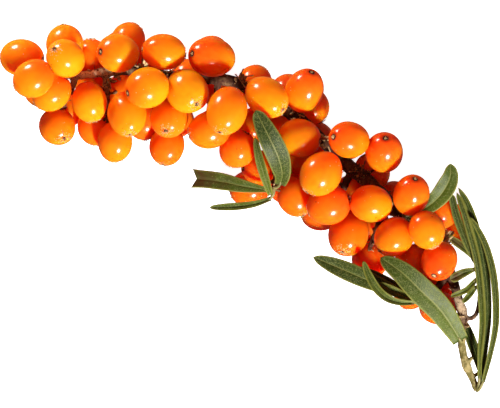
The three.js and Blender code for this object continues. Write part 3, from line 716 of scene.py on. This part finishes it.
def berryShape(berry, draw):  # one berry round its own axis, eye first
    look, eye, hole = berryLook, berryLook["eye"], berryLook["hole"]
    shares = np.linspace(0, 1, look["down"] + 1)
    angles = math.pi * (shares - look["closer"] * np.sin(2 * math.pi * shares))
    sweep = np.linspace(0, 2 * math.pi, look["around"], endpoint=False) + berry.spin
    first, second = squareTo(berry.axis)
    theta, turn = np.meshgrid(angles[1:-1], sweep, indexing="ij")
    theta = np.concatenate([[0], theta.ravel(), [math.pi]])
    turn = np.concatenate([[0], turn.ravel(), [0]])
    out = (np.outer(np.sin(theta) * np.cos(turn), first) + np.outer(np.sin(theta) * np.sin(turn), second)
           + np.outer(np.cos(theta), berry.axis) * berry.half / berry.radius)
    size = np.ones(len(theta))
    for end, away in ((eye, theta), (hole, math.pi - theta)):
        size += end["rise"] * bell(away, end["riseWidth"]) - end["dip"] * bell(away, end["dipWidth"])
    for _ in range(3):
        wave = np.array([2 * draw() - 1 for _ in range(3)]) * look["lumpWave"]
        size += look["lump"] * np.cos(out @ wave + 2 * math.pi * draw())
    return berry.place + out * (size * berry.radius)[:, None], theta / math.pi


def berryFaces():
    around, rings = berryLook["around"], berryLook["down"] - 1
    end = rings * around + 1
    faces = []
    for side in range(around):
        after = (side + 1) % around
        faces.append([0, 1 + side, 1 + after])
        faces.append([end, end - around + after, end - around + side])
        for ring in range(rings - 1):
            low, high = 1 + ring * around, 1 + (ring + 1) * around
            faces.append([low + side, high + side, high + after, low + after])
    return faces


def pressFlat(points, berry):  # flat where a neighbour or the surface presses it
    for other in berries:
        step = other.place - berry.place
        away = np.linalg.norm(step)
        if other is berry or away > berry.half + other.half:
            continue
        own, theirs = reachAlong(berry, step, away), reachAlong(other, step, away)
        limit = away * own / (own + theirs) - berryLook["pressGap"] / 2
        over = np.maximum((points - berry.place) @ (step / away) - limit, 0)
        points = points - np.outer(over, step / away)
    points[:, 2] = np.maximum(points[:, 2], 0)
    return points


def ripeness(berry, draw):  # nearer the cut end redder; lower ones painted redder, as shade
    ripe = berryLook["ripe"]
    low = 1 - min(ripe["under"], berry.place[2], berry.planned[2]) / ripe["under"]
    stray = ripe["stray"] * (draw() - ripe["middle"])
    return min(1, max(0, ripe["bunch"] * berry.bunch + ripe["low"] * low + stray))


def makeBerries(skin):
    draw = drawer(berryLook["seed"])
    faces = berryFaces()
    for bunch in range(len(berryPlan["bunches"])):
        heap = Heap()
        for berry in berries:
            if berry.bunch == bunch:
                points, down = berryShape(berry, draw)
                ripe = ripeness(berry, draw)
                heap.add(pressFlat(points, berry), faces, eyeToStalk=down, ripeness=ripe)
        nodes = [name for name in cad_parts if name.startswith(f"berry_bunch_{bunch + 1}")]
        heap.piece(f"berryBunch{bunch + 1}", skin, "berry_skin", nodes)


makeBerries(berrySkin())
print("berries made")


# Dry remains of the flower at each eye, and the torn ends of stalks in the holes

remainsLook = {
    "flaps": 7,
    "length": (0.35, 0.85),
    "width": 0.34,
    "sunk": 0.06,  # foot of a flap below the skin
    "crumbs": 16,
    "crumbFrom": 0.35,
    "crumbSpread": 1.5,  # how far crumbs lie round the eye
    "crumbLength": (0.25, 0.6),
    "crumbWidth": 0.22,
    "star": 6,
    "starLength": (0.4, 0.7),
    "starWidth": 0.36,
    "sink": 0.35,  # share of the hole's depth at which the star sits
    "bleach": {"flap": (-0.15, 0.25), "crumb": (0.2, 0.4), "star": (0.22, 0.37)},
    "grain": 1500,
    "dark": (0.045, 0.015, 0.005),
    "brown": (0.15, 0.070, 0.022),
    "pale": (0.60, 0.40, 0.19),
    "seed": 97,
}


def driedHusk():
    look = remainsLook
    material = newMaterial("driedHusk")
    grain = noiseValue(objectPlace(material), look["grain"], 4)
    # paler husks are bleached; in the clusters they are also made paler as painted light, where they lie
    # in shade
    tone = grain + attribute(material, "bleach")
    return finished(material, {
        "Base Color": ramp(tone, (0.3, look["dark"]), (0.5, look["brown"]), (0.75, look["pale"])),
        "Roughness": 0.85,
        "Normal": bump(grain, 0.6, 0.1),
    })


def pick(draw, limits):
    return limits[0] + (limits[1] - limits[0]) * draw()


def flap(root, heading, over, length, width):  # small curled three-sided husk
    aside = np.cross(over, heading) * width / 2
    tip = root + heading * length + over * length * 0.35
    middle = root + heading * length * 0.5
    points = [root - aside * 0.6, root + aside * 0.6, middle + aside, middle - aside, tip,
              root + over * 0.12, middle + over * 0.14]
    faces = [[0, 3, 2, 1], [3, 4, 2], [0, 1, 5], [1, 2, 6, 5], [0, 5, 6, 3], [2, 4, 6], [3, 6, 4]]
    points = np.array(points)
    points[:, 2] = np.maximum(points[:, 2], 0.02)  # none reaches under the surface
    return points, faces


def onBerry(berry, around, away):  # place on the skin at a distance from the eye, outward and onward
    angle = away / berry.radius
    aside = spoke(berry.axis, around)
    place = aside * math.sin(angle) * berry.radius + berry.axis * math.cos(angle) * berry.half
    out = unit(aside * math.sin(angle) / berry.radius + berry.axis * math.cos(angle) / berry.half)
    return berry.place + place, out, unit(aside - out * np.dot(aside, out))


def addEye(heap, berry, draw):
    look, bleach = remainsLook, remainsLook["bleach"]
    for index in range(look["flaps"]):
        around = 2 * math.pi * (index + 0.6 * draw()) / look["flaps"]
        root, out, heading = onBerry(berry, around, look["sunk"])
        over = unit(out + heading * 0.1)
        length = pick(draw, look["length"])
        husk = flap(root - out * look["sunk"], heading, over, length, look["width"])
        heap.add(*husk, bleach=pick(draw, bleach["flap"]))
    for _ in range(look["crumbs"]):
        around = 2 * math.pi * draw()
        away = look["crumbFrom"] + look["crumbSpread"] * draw() ** 1.5
        root, out, heading = onBerry(berry, around, away)
        length = pick(draw, look["crumbLength"])
        way = unit(heading + np.cross(out, heading) * (draw() - 0.5))
        crumb = flap(root + out * 0.03, way, out, length, look["crumbWidth"])
        heap.add(*crumb, bleach=pick(draw, bleach["crumb"]))


def addStar(heap, berry, draw):  # torn end of the stalk, deep in its hole
    look = remainsLook
    depth = berryLook["hole"]["dip"] * look["sink"]
    foot = berry.place - berry.axis * berry.half * (1 - depth)
    for index in range(look["star"]):
        heading = spoke(berry.axis, 2 * math.pi * (index + 0.7 * draw()) / look["star"])
        length = pick(draw, look["starLength"])
        torn = flap(foot - heading * 0.1, heading, -berry.axis, length, look["starWidth"])
        heap.add(*torn, bleach=pick(draw, look["bleach"]["star"]))


def makeRemains(husk):
    draw = drawer(remainsLook["seed"])
    heap = Heap()
    for berry in berries:
        addEye(heap, berry, draw)
        addStar(heap, berry, draw)
    heap.piece("berryRemains", husk, "bark")


husk = driedHusk()
makeRemains(husk)
print("eyes and stumps made")


# Wood: twig, spurs and berry stalks, melted into one skin

woodLook = {
    "twigSteps": 360,
    "spurSteps": 30,
    "sides": 16,
    "voxel": 0.22,
    "knobs": 0.16,  # swelling where side stems leave
    "knobReach": 2.2,
    "rough": 0.16,  # depth of the bark's unevenness
    "waves": 28,
    "stalkRadii": (0.62, 0.40, 0.36, 0.52),  # stem to berry
    "stalkSides": 8,
    "stalkSag": 0.25,
    "stalkEnd": 0.9,  # share of the berry's radius from its middle
    "dark": (0.020, 0.005, 0.003),
    "brown": (0.056, 0.020, 0.010),
    "tan": (0.15, 0.085, 0.038),
    "coarse": 420,
    "fine": 1900,
    "pore": (0.2, 0.14, 0.09),
    "pores": {"scale": 800, "few": (0.7, 0.72), "size": (0.3, 0.15), "strength": 0.6},
    "stalk": (0.18, 0.10, 0.032),
    "young": (0.125, 0.105, 0.030),  # the last of the twig is still green
    "cream": (0.34, 0.27, 0.12),
    "worn": (0.80, 0.62, 0.40),
    "youngFrom": -27.0,
    "bleached": ((-37.0, 31.0, 5.0, 1.0), (48.4, -22.8, 2.4, 0.5)),  # worn pale and painted light on top: where, reach, strength
    "seed": 5,
}
fineStems = allStems(woodLook["twigSteps"], woodLook["spurSteps"])


def barkSkin():
    look, pores = woodLook, woodLook["pores"]
    material = newMaterial("barkSkin")
    place = objectPlace(material)
    fine = noiseValue(place, look["fine"], 4, 0.7)
    grain = noiseValue(place, look["coarse"], 5, 0.65) * 0.65 + fine * 0.35
    bark = ramp(grain, (0.34, look["dark"]), (0.5, look["brown"]), (0.64, look["tan"]))
    poreAway, poreOwn = cells(place, pores["scale"])
    pore = between(poreAway, *pores["size"]) * between(poreOwn, *pores["few"])
    bark = mixed(pore * pores["strength"], bark, look["pore"])
    bark = mixed(attribute(material, "stalk"), bark, mixed(fine, look["stalk"], look["brown"]))
    green = mixed(between(grain, 0.42, 0.6), look["young"], look["cream"])
    bark = mixed(attribute(material, "young"), bark, green)
    # painted light: upward faces near the tip and on a thorn are made pale, as worn bark and as if lit
    bark = mixed(attribute(material, "bleached") * between(fine, 0.35, 0.5), bark, look["worn"])
    return finished(material, {
        "Base Color": bark,
        "Roughness": 0.8,
        "Specular IOR Level": 0.15,
        "Normal": bump(grain, 0.7, 0.25),
    })


def meltedMesh(heap, voxel):  # one closed skin over overlapping shapes
    piece = meshObject("melting", np.concatenate(heap.points), heap.faces)
    mesh = piece.data
    melt = piece.modifiers.new("melt", "REMESH")
    melt.mode = "VOXEL"
    melt.voxel_size = voxel
    soften = piece.modifiers.new("soften", "SMOOTH")
    soften.iterations = 2
    result = piece.evaluated_get(bpy.context.evaluated_depsgraph_get()).to_mesh()
    points, normals = np.empty((2, len(result.vertices) * 3))
    result.vertices.foreach_get("co", points)
    result.vertices.foreach_get("normal", normals)
    faces = [list(face.vertices) for face in result.polygons]
    bpy.data.objects.remove(piece)
    bpy.data.meshes.remove(mesh)
    return points.reshape(-1, 3), normals.reshape(-1, 3), faces


def roughness(points):  # sum of waves in many directions
    draw = drawer(woodLook["seed"])
    total = np.zeros(len(points))
    for wave in range(woodLook["waves"]):
        way = unit(np.array([draw() - 0.5 for _ in range(3)])) * (1.5 + 0.25 * wave)
        total += np.sin(points @ way + 2 * math.pi * draw()) / (1 + 0.1 * wave)
    return total / 5


def addStalk(heap, berry):
    look = woodLook
    start, end = berry.stem.place, berry.place
    way = unit(end - start)
    reach = np.linalg.norm(end - start) - berry.radius * look["stalkEnd"]
    steps = np.linspace(0, 1, 7)
    sag = np.outer(np.sin(math.pi * steps) * look["stalkSag"], squareTo(way)[0])
    radii = np.interp(steps, np.linspace(0, 1, len(look["stalkRadii"])), look["stalkRadii"])
    heap.add(*tube(start + np.outer(steps * reach, way) + sag, radii, look["stalkSides"]))


def makeWood(bark):
    look = woodLook
    forks = np.array([stem[0].place for stem in fineStems[1:]])
    heap = Heap()
    for stem in fineStems:
        places = np.array([sample.place for sample in stem])
        radii = np.array([sample.radius for sample in stem])
        if stem is fineStems[0]:
            away = np.linalg.norm(places[:, None] - forks[None], axis=2).min(axis=1)
            radii = radii * (1 + look["knobs"] * bell(away, look["knobReach"]))
        heap.add(*tube(places, radii, look["sides"]))
    for berry in berries:
        addStalk(heap, berry)
    points, normals, faces = meltedMesh(heap, look["voxel"])
    wood = np.array([[*sample.place, sample.radius] for stem in fineStems for sample in stem])
    gaps = [(np.linalg.norm(wood[:, :3] - point, axis=1) - wood[:, 3]).min() for point in points]
    stalk = np.clip((np.array(gaps) - 0.25) / 0.3, 0, 1)  # 0 on stems, 1 on berry stalks
    depth = look["rough"] * roughness(points) * (1 - 0.75 * stalk)
    young = np.clip((look["youngFrom"] - points[:, 1]) / 3, 0, 1)
    # pale worn bark together with painted light, stronger where the surface faces up
    bleached = np.zeros(len(points))
    for right, across, reach, strength in look["bleached"]:
        away = np.hypot(points[:, 0] - right, points[:, 1] - across)
        bleached = np.maximum(bleached, strength * bell(away, reach) * np.clip(1.5 * normals[:, 2], 0, 1))
    skin = Heap()
    skin.add(points + normals * depth[:, None], faces, stalk=stalk, young=young, bleached=bleached)
    skin.piece("twigWood", bark, "bark", ["twig"])


makeWood(barkSkin())
print("wood made")


# Small brown husks, the scales of old buds, in tufts where spurs and stalks leave the wood,
# and larger clusters of them with dry straws on top of it

tuftLook = {
    "twigSpots": slice(2, 34, 2),  # samples of the twig that bear them
    "husks": 6,
    "length": (0.7, 1.6),
    "width": (0.42, 0.84),
    "slide": 1.4,  # how far along the wood they lie
    "bleach": (-0.15, 0.15),
    "seed": 63,
}

clusterLook = {  # right, across, husks, straws, how bleached, raised as painted light where clusters lie in shade
    "spots": (
        (-31.7, 28.9, 22, 3, 0.32), (-24.9, 33.4, 12, 3, 0.42), (-18.7, 30.8, 8, 2, 0.32),
        (-2.4, 29.6, 10, 5, 0.28), (10.7, 22.1, 14, 4, 0.42), (17.6, 15, 10, 4, 0.36),
        (25.6, 8.2, 22, 4, -0.12), (34.9, -2.2, 8, 2, 0.1), (45.4, -6.5, 12, 1, 0.4),
        (48.6, -26.4, 6, 2, 0.3),
    ),
    "spread": 1.3,
    "rise": 1.4,  # how far they pile up over the wood
    "length": (0.8, 1.9),
    "width": (0.51, 1.105),
    "strawLength": (1.6, 3.4),
    "strawRadius": 0.16,
    "strawThick": (1, 0.9, 0.85, 0.8, 0.8, 1.1, 0.7),
    "longStalk": {"berry": (23.0, 15.5), "from": (16.9, 15.9, 14.2), "radius": 0.34, "arch": 1.2},
    "longThick": (1.5, 1.1, 1, 0.95, 1, 0.9, 1, 1.15, 1.3),
    "seed": 27,
}


def ontoWood(place):  # drawn in to the nearest wood if it would hang in the air
    near = nearestSample(fineStems, place)
    gap = place - near.place
    return near.place + gap * min(1, near.radius / np.linalg.norm(gap))


def makeTufts(husk):
    look = tuftLook
    draw = drawer(look["seed"])
    heap = Heap()
    spots = [stem[0] for stem in fruiting[1:]] + [stem[-1] for stem in fruiting[1:-1]]
    spots += stems[0][look["twigSpots"]]
    for spot in spots:
        for _ in range(look["husks"]):
            out = spoke(spot.heading, 2 * math.pi * draw())
            slide = (2 * draw() - 1) * look["slide"]
            root = ontoWood(spot.place + spot.heading * slide + out * spot.radius * 0.85)
            heading = unit(out * (0.35 + 0.6 * draw()) + spot.heading * (2 * draw() - 1))
            over = unit(out - heading * np.dot(out, heading) + spot.heading * 1e-3)
            width = pick(draw, look["width"])
            bleach = pick(draw, look["bleach"])
            heap.add(*flap(root, heading, over, pick(draw, look["length"]), width), bleach=bleach)
    heap.piece("budHusks", husk, "bark")


def addHusk(heap, top, bleach, draw):
    look = clusterLook
    turn, away = 2 * math.pi * draw(), look["spread"] * math.sqrt(draw())
    out = unit(np.array((math.cos(turn), math.sin(turn), 0.3 + 0.9 * draw())))
    foot = top + (math.cos(turn) * away, math.sin(turn) * away, look["rise"] * (draw() - 0.4))
    width = pick(draw, look["width"])
    tone = bleach + 0.5 * (draw() - 0.5)
    tip = foot + out * pick(draw, look["length"])
    root = ontoWood(foot)
    heading = unit(tip - root)
    over = unit(np.cross(heading, np.cross((0, 0, 1.0), heading)))
    heap.add(*flap(root, heading, over, math.dist(root, tip), width), bleach=tone)


def addStraw(heap, top, bleach, draw):
    look = clusterLook
    turn = 2 * math.pi * draw()
    heading = unit(np.array((math.cos(turn), math.sin(turn), 0.35)))
    bend = np.array((draw() - 0.5, draw() - 0.5, -0.3))
    length = pick(draw, look["strawLength"])
    steps = np.linspace(0, 1, len(look["strawThick"]))
    places = ontoWood(top) + np.outer(steps * length, heading) + np.outer(steps ** 2 * length * 0.4, bend)
    heap.add(*tube(places, look["strawRadius"] * np.array(look["strawThick"]), 6), bleach=bleach + 0.1)


def addLongStalk(heap):
    plan, thick = clusterLook["longStalk"], np.array(clusterLook["longThick"])
    berry = min(berries, key=lambda one: math.dist(one.planned[:2], plan["berry"]))
    end = berry.place - berry.axis * berry.half * 0.94
    steps = np.linspace(0, 1, len(thick))[:, None]
    places = np.array(plan["from"]) * (1 - steps) + end * steps
    places[:, 2] += np.sin(math.pi * steps[:, 0]) * plan["arch"]
    heap.add(*tube(places, plan["radius"] * thick, 8), bleach=0.22)


def makeClusters(husk):
    draw = drawer(clusterLook["seed"])
    heap = Heap()
    # the last column is partly painted light: clusters in shade are made paler
    for x, y, husks, straws, bleach in clusterLook["spots"]:
        near = nearestSample(stems, np.array((x, y)), inPlan=True)
        top = np.array((x, y, near.place[2] + near.radius * 0.8))
        for _ in range(husks):
            addHusk(heap, top, bleach, draw)
        for _ in range(straws):
            addStraw(heap, top, bleach, draw)
    addLongStalk(heap)
    heap.piece("budClusters", husk, "bark")


makeTufts(husk)
makeClusters(husk)
print("bud husks made")


# Leaves

leafLook = {
    "steps": 48,
    "columns": 17,
    "thickness": 0.42,
    "edgeThickness": 0.2,
    "ribDip": 0.14,
    "ribWidth": 0.12,
    "wave": 0.1,
    "tipRound": 0.07,  # share of the length in which the tip rounds off
    "notchFrom": 0.9,
    "mottle": 330,
    "broad": 90,
    "green": (0.070, 0.098, 0.004),
    "deepGreen": (0.018, 0.032, 0.003),
    "edge": (0.165, 0.165, 0.026),
    "edgeWidth": 0.5,
    "rib": (0.17, 0.175, 0.045),
    "veins": {"along": 120, "slant": 9, "strength": 0.16},
    "silver": (0.23, 0.245, 0.078),
    "scales": {"scale": 6500, "size": (0.7, 0.3), "strength": 0.55},
    "brown": (0.052, 0.028, 0.005),
    "olive": (0.050, 0.048, 0.007),
    "seed": 29,
}


def leafSkin():
    look, veins, fine = leafLook, leafLook["veins"], leafLook["scales"]
    material = newMaterial("leafSkin")
    place = objectPlace(material)
    keys = ("across", "along", "silver", "shade", "brown")
    across, along, silver, shade, brown = (attribute(material, key) for key in keys)
    fromRib = abs(across)
    mottle = noiseValue(place, look["mottle"], 4)
    broad = noiseValue(place, look["broad"], 2) + along * 0.45
    # the shade part of deep is partly painted shade, for blades in a fold or in shadow
    deep = shade * 0.85 + mottle * 0.35 + broad * 0.5
    blade = mixed(between(deep, 0.35, 1.15), look["green"], look["deepGreen"])
    # side veins run forward from the midrib
    slant = along * veins["along"] - fromRib * veins["slant"]
    vein = between(slant.sine(), 0.82, 1.0)
    blade = mixed(vein * veins["strength"], blade, look["rib"])
    # withered in patches from the tip inwards
    dry = between(along * 0.8 + mottle * 0.7 + brown, 1.35, 1.6)
    withered = mixed(between(mottle, 0.4, 0.62), look["brown"], look["olive"])
    blade = mixed(dry, blade, withered)
    # silvery scales, very fine, fewer where it has withered
    scaleAway, scaleOwn = cells(place, fine["scale"])
    dense = silver * (1.0 - dry * 0.9) * (mottle + 0.2)
    scales = between(scaleAway, *fine["size"]) * (scaleOwn < dense)
    blade = mixed(scales * fine["strength"], blade, look["silver"])
    # yellowish margin, painted shade as a dark band at the base, pale midrib
    margin = between(attribute(material, "inward"), look["edgeWidth"], 0.1)
    blade = mixed(margin * 0.75, blade, look["edge"])
    blade = mixed(between(along, 0.025, 0.005) * 0.7, blade, look["deepGreen"])
    fresh = 0.6 - dry * 0.4
    blade = mixed(between(fromRib, 0.075, 0.03) * fresh, blade, look["rib"])
    return finished(material, {
        "Base Color": blade,
        "Roughness": mottle * 0.25 + 0.38,
        "Subsurface Weight": 0.15,
        "Subsurface Radius": (0.5, 1.0, 0.2),
        "Subsurface Scale": 0.5 * mm,
        "Sheen Weight": 0.03,
        "Sheen Roughness": 0.5,
        "Specular IOR Level": 0.2,
        "Normal": bump(scales + mottle + vein * 0.5, 0.35, 0.08),
    })


def leafShape(leaf, draw):
    look = leafLook
    steps, columns = look["steps"], look["columns"]
    sides = np.linspace(-1, 1, columns)
    phase = 2 * math.pi * draw()
    top, under, across, along, inward = [], [], [], [], []
    for step, (place, heading, aside, over) in enumerate(bladeFrames(leaf, steps)):
        share = step / steps
        half = bladeHalfWidth(leaf, share)
        if "notch" not in leaf and share > 1 - look["tipRound"]:
            left = (1 - share) / look["tipRound"]
            half *= math.sqrt(max(0.0, 1 - (1 - left) ** 2)) * 0.94 + 0.06
        notch = leaf.get("notch", 0) * max(0.0, (share - look["notchFrom"]) / (1 - look["notchFrom"]))
        for side in sides:
            wave = look["wave"] * math.sin(phase + 17 * share + 1.3 * side) * abs(side) * min(1, half)
            dip = look["ribDip"] * min(1, half) * bell(side, look["ribWidth"])
            lift = abs(side) * half * leaf["fold"] + wave - dip
            spot = place + aside * side * half + over * lift - heading * notch * (1 - abs(side))
            thick = look["thickness"] + (look["edgeThickness"] - look["thickness"]) * side ** 2
            top.append(spot)
            under.append(spot - over * thick)
            across.append(side)
            along.append(share)
            inward.append(half * (1 - abs(side)))
    return np.array(top + under), dict(across=across * 2, along=along * 2, inward=inward * 2)


def leafFaces():
    steps, columns = leafLook["steps"], leafLook["columns"]
    half = (steps + 1) * columns
    faces = []
    for step in range(steps):
        for column in range(columns - 1):
            a = step * columns + column
            b, c, d = a + 1, a + columns + 1, a + columns
            faces.append([a, d, c, b])
            faces.append([a + half, b + half, c + half, d + half])
        left, right = step * columns, step * columns + columns - 1
        faces.append([left + columns, left, left + half, left + columns + half])
        faces.append([right, right + columns, right + columns + half, right + half])
    for column in range(columns - 1):
        end = steps * columns + column
        faces.append([column, column + 1, column + 1 + half, column + half])
        faces.append([end + 1, end, end + half, end + 1 + half])
    return faces


def makeLeaves(skin):
    draw = drawer(leafLook["seed"])
    faces = leafFaces()
    for leaf in leafPlan["blades"]:
        heap = Heap()
        points, values = leafShape(leaf, draw)
        brown = leaf.get("brown", 0.0)
        heap.add(points, faces, **values, silver=leaf["silver"], shade=leaf["shade"], brown=brown)
        words = leaf["node"].split("_")
        name = words[0] + "".join(word.capitalize() for word in words[1:])
        slot = "dry_leaf" if brown > 0.5 and "notch" not in leaf else "green_leaf"
        heap.piece(name, skin, slot, [leaf["node"]])


petioleLook = {
    "radius": 0.42,
    "inside": 0.9,  # how far it runs into the blade
    "curve": 0.4,
    "grain": 900,
    "green": (0.10, 0.095, 0.020),
    "pale": (0.24, 0.20, 0.07),
    "cutEnd": ("leaf_bundle_middle", "leaf_bundle_back", "leaf_bundle_outer"),  # grow at the cut end
}


def petioleSkin():
    look = petioleLook
    material = newMaterial("petioleSkin")
    grain = noiseValue(objectPlace(material), look["grain"], 4)
    return finished(material, {
        "Base Color": ramp(grain, (0.35, look["green"]), (0.65, look["pale"])),
        "Roughness": 0.6,
        "Normal": bump(grain, 0.4, 0.1),
    })


def makePetioles(skin):  # from the base of each blade down to the wood
    look = petioleLook
    heap = Heap()
    for leaf in leafPlan["blades"]:
        place, heading, _, over = bladeFrames(leaf, leafLook["steps"])[0]
        foot = stems[0][-1] if leaf["node"] in look["cutEnd"] else nearestSample(stems, place)
        start = place + heading * look["inside"] - over * leafLook["thickness"] / 2
        back = place - heading * np.linalg.norm(foot.place - place) * look["curve"]
        steps = np.linspace(0, 1, 9)[:, None]
        places = start * (1 - steps) ** 2 + 2 * back * steps * (1 - steps) + foot.place * steps ** 2
        radii = look["radius"] * np.interp(steps[:, 0], (0, 0.25, 1), (0.45, 0.8, 1.2))
        heap.add(*tube(places, radii, 10))
    heap.piece("leafStalks", skin, "green_leaf")


makeLeaves(leafSkin())
makePetioles(petioleSkin())
print("leaves made")


# Floor, light and camera

stageLook = {
    "floor": 4.0,
    "paper": (0.9, 0.9, 0.89),
    "paperGlow": 0.95,  # the sheet is lit from beneath
    "world": 0.2,
    "worldTint": (1.0, 0.62, 0.46),  # warm, as light thrown from fruit to fruit
    "lights": {
        "key": dict(way=(0.34, -0.74, 0.58), away=1.2, size=0.17, power=39.0, tint=(1.0, 0.98, 0.94)),
        "rim": dict(way=(-0.57, 0.80, 0.18), away=0.24, size=0.055, power=0.62, tint=(1.0, 0.90, 0.76)),
    },
    "camera": {"aim": (0.0, 0.8 * mm, 14 * mm), "away": 2.2, "width": 115 * mm},
}


def makeFloor():
    size = stageLook["floor"] / 2
    corners = [(-size, -size, 0), (size, -size, 0), (size, size, 0), (-size, size, 0)]
    floor = meshObject("paperFloor", corners, [[0, 1, 2, 3]])
    floor.data.materials.append(finished(newMaterial("paper"), {
        "Base Color": stageLook["paper"],
        "Roughness": 0.9,
        "Emission Color": (1, 1, 1),
        "Emission Strength": stageLook["paperGlow"],
    }))
    floor.visible_diffuse = False  # the sheet throws no light back on the fruit
    floor.visible_glossy = False
    floor.visible_transmission = False


def makeLights():
    scene = bpy.context.scene
    scene.world = bpy.data.worlds.new("studio")
    scene.world.use_nodes = True
    sky = scene.world.node_tree.nodes["Background"]
    setSockets(sky, {"Color": stageLook["worldTint"], "Strength": stageLook["world"]})
    for name, plan in stageLook["lights"].items():
        data = bpy.data.lights.new(name, "AREA")
        data.shape = "DISK"
        data.size = plan["size"]
        data.energy = plan["power"]
        data.color = plan["tint"]
        lamp = linked(name, data)
        way = unit(np.array(plan["way"]))
        lamp.location = way * plan["away"]
        lamp.rotation_euler = (math.acos(way[2]), 0, math.atan2(way[0], -way[1]))


def makeCamera():
    plan = stageLook["camera"]
    data = bpy.data.cameras.new("camera")
    data.lens = data.sensor_width * plan["away"] / plan["width"]
    camera = linked("camera", data)
    x, y, z = plan["aim"]
    camera.location = (x, y, z + plan["away"])
    bpy.context.scene.camera = camera


makeFloor()
makeLights()
makeCamera()
bpy.context.scene.view_settings.view_transform = "Standard"
print("stage made")
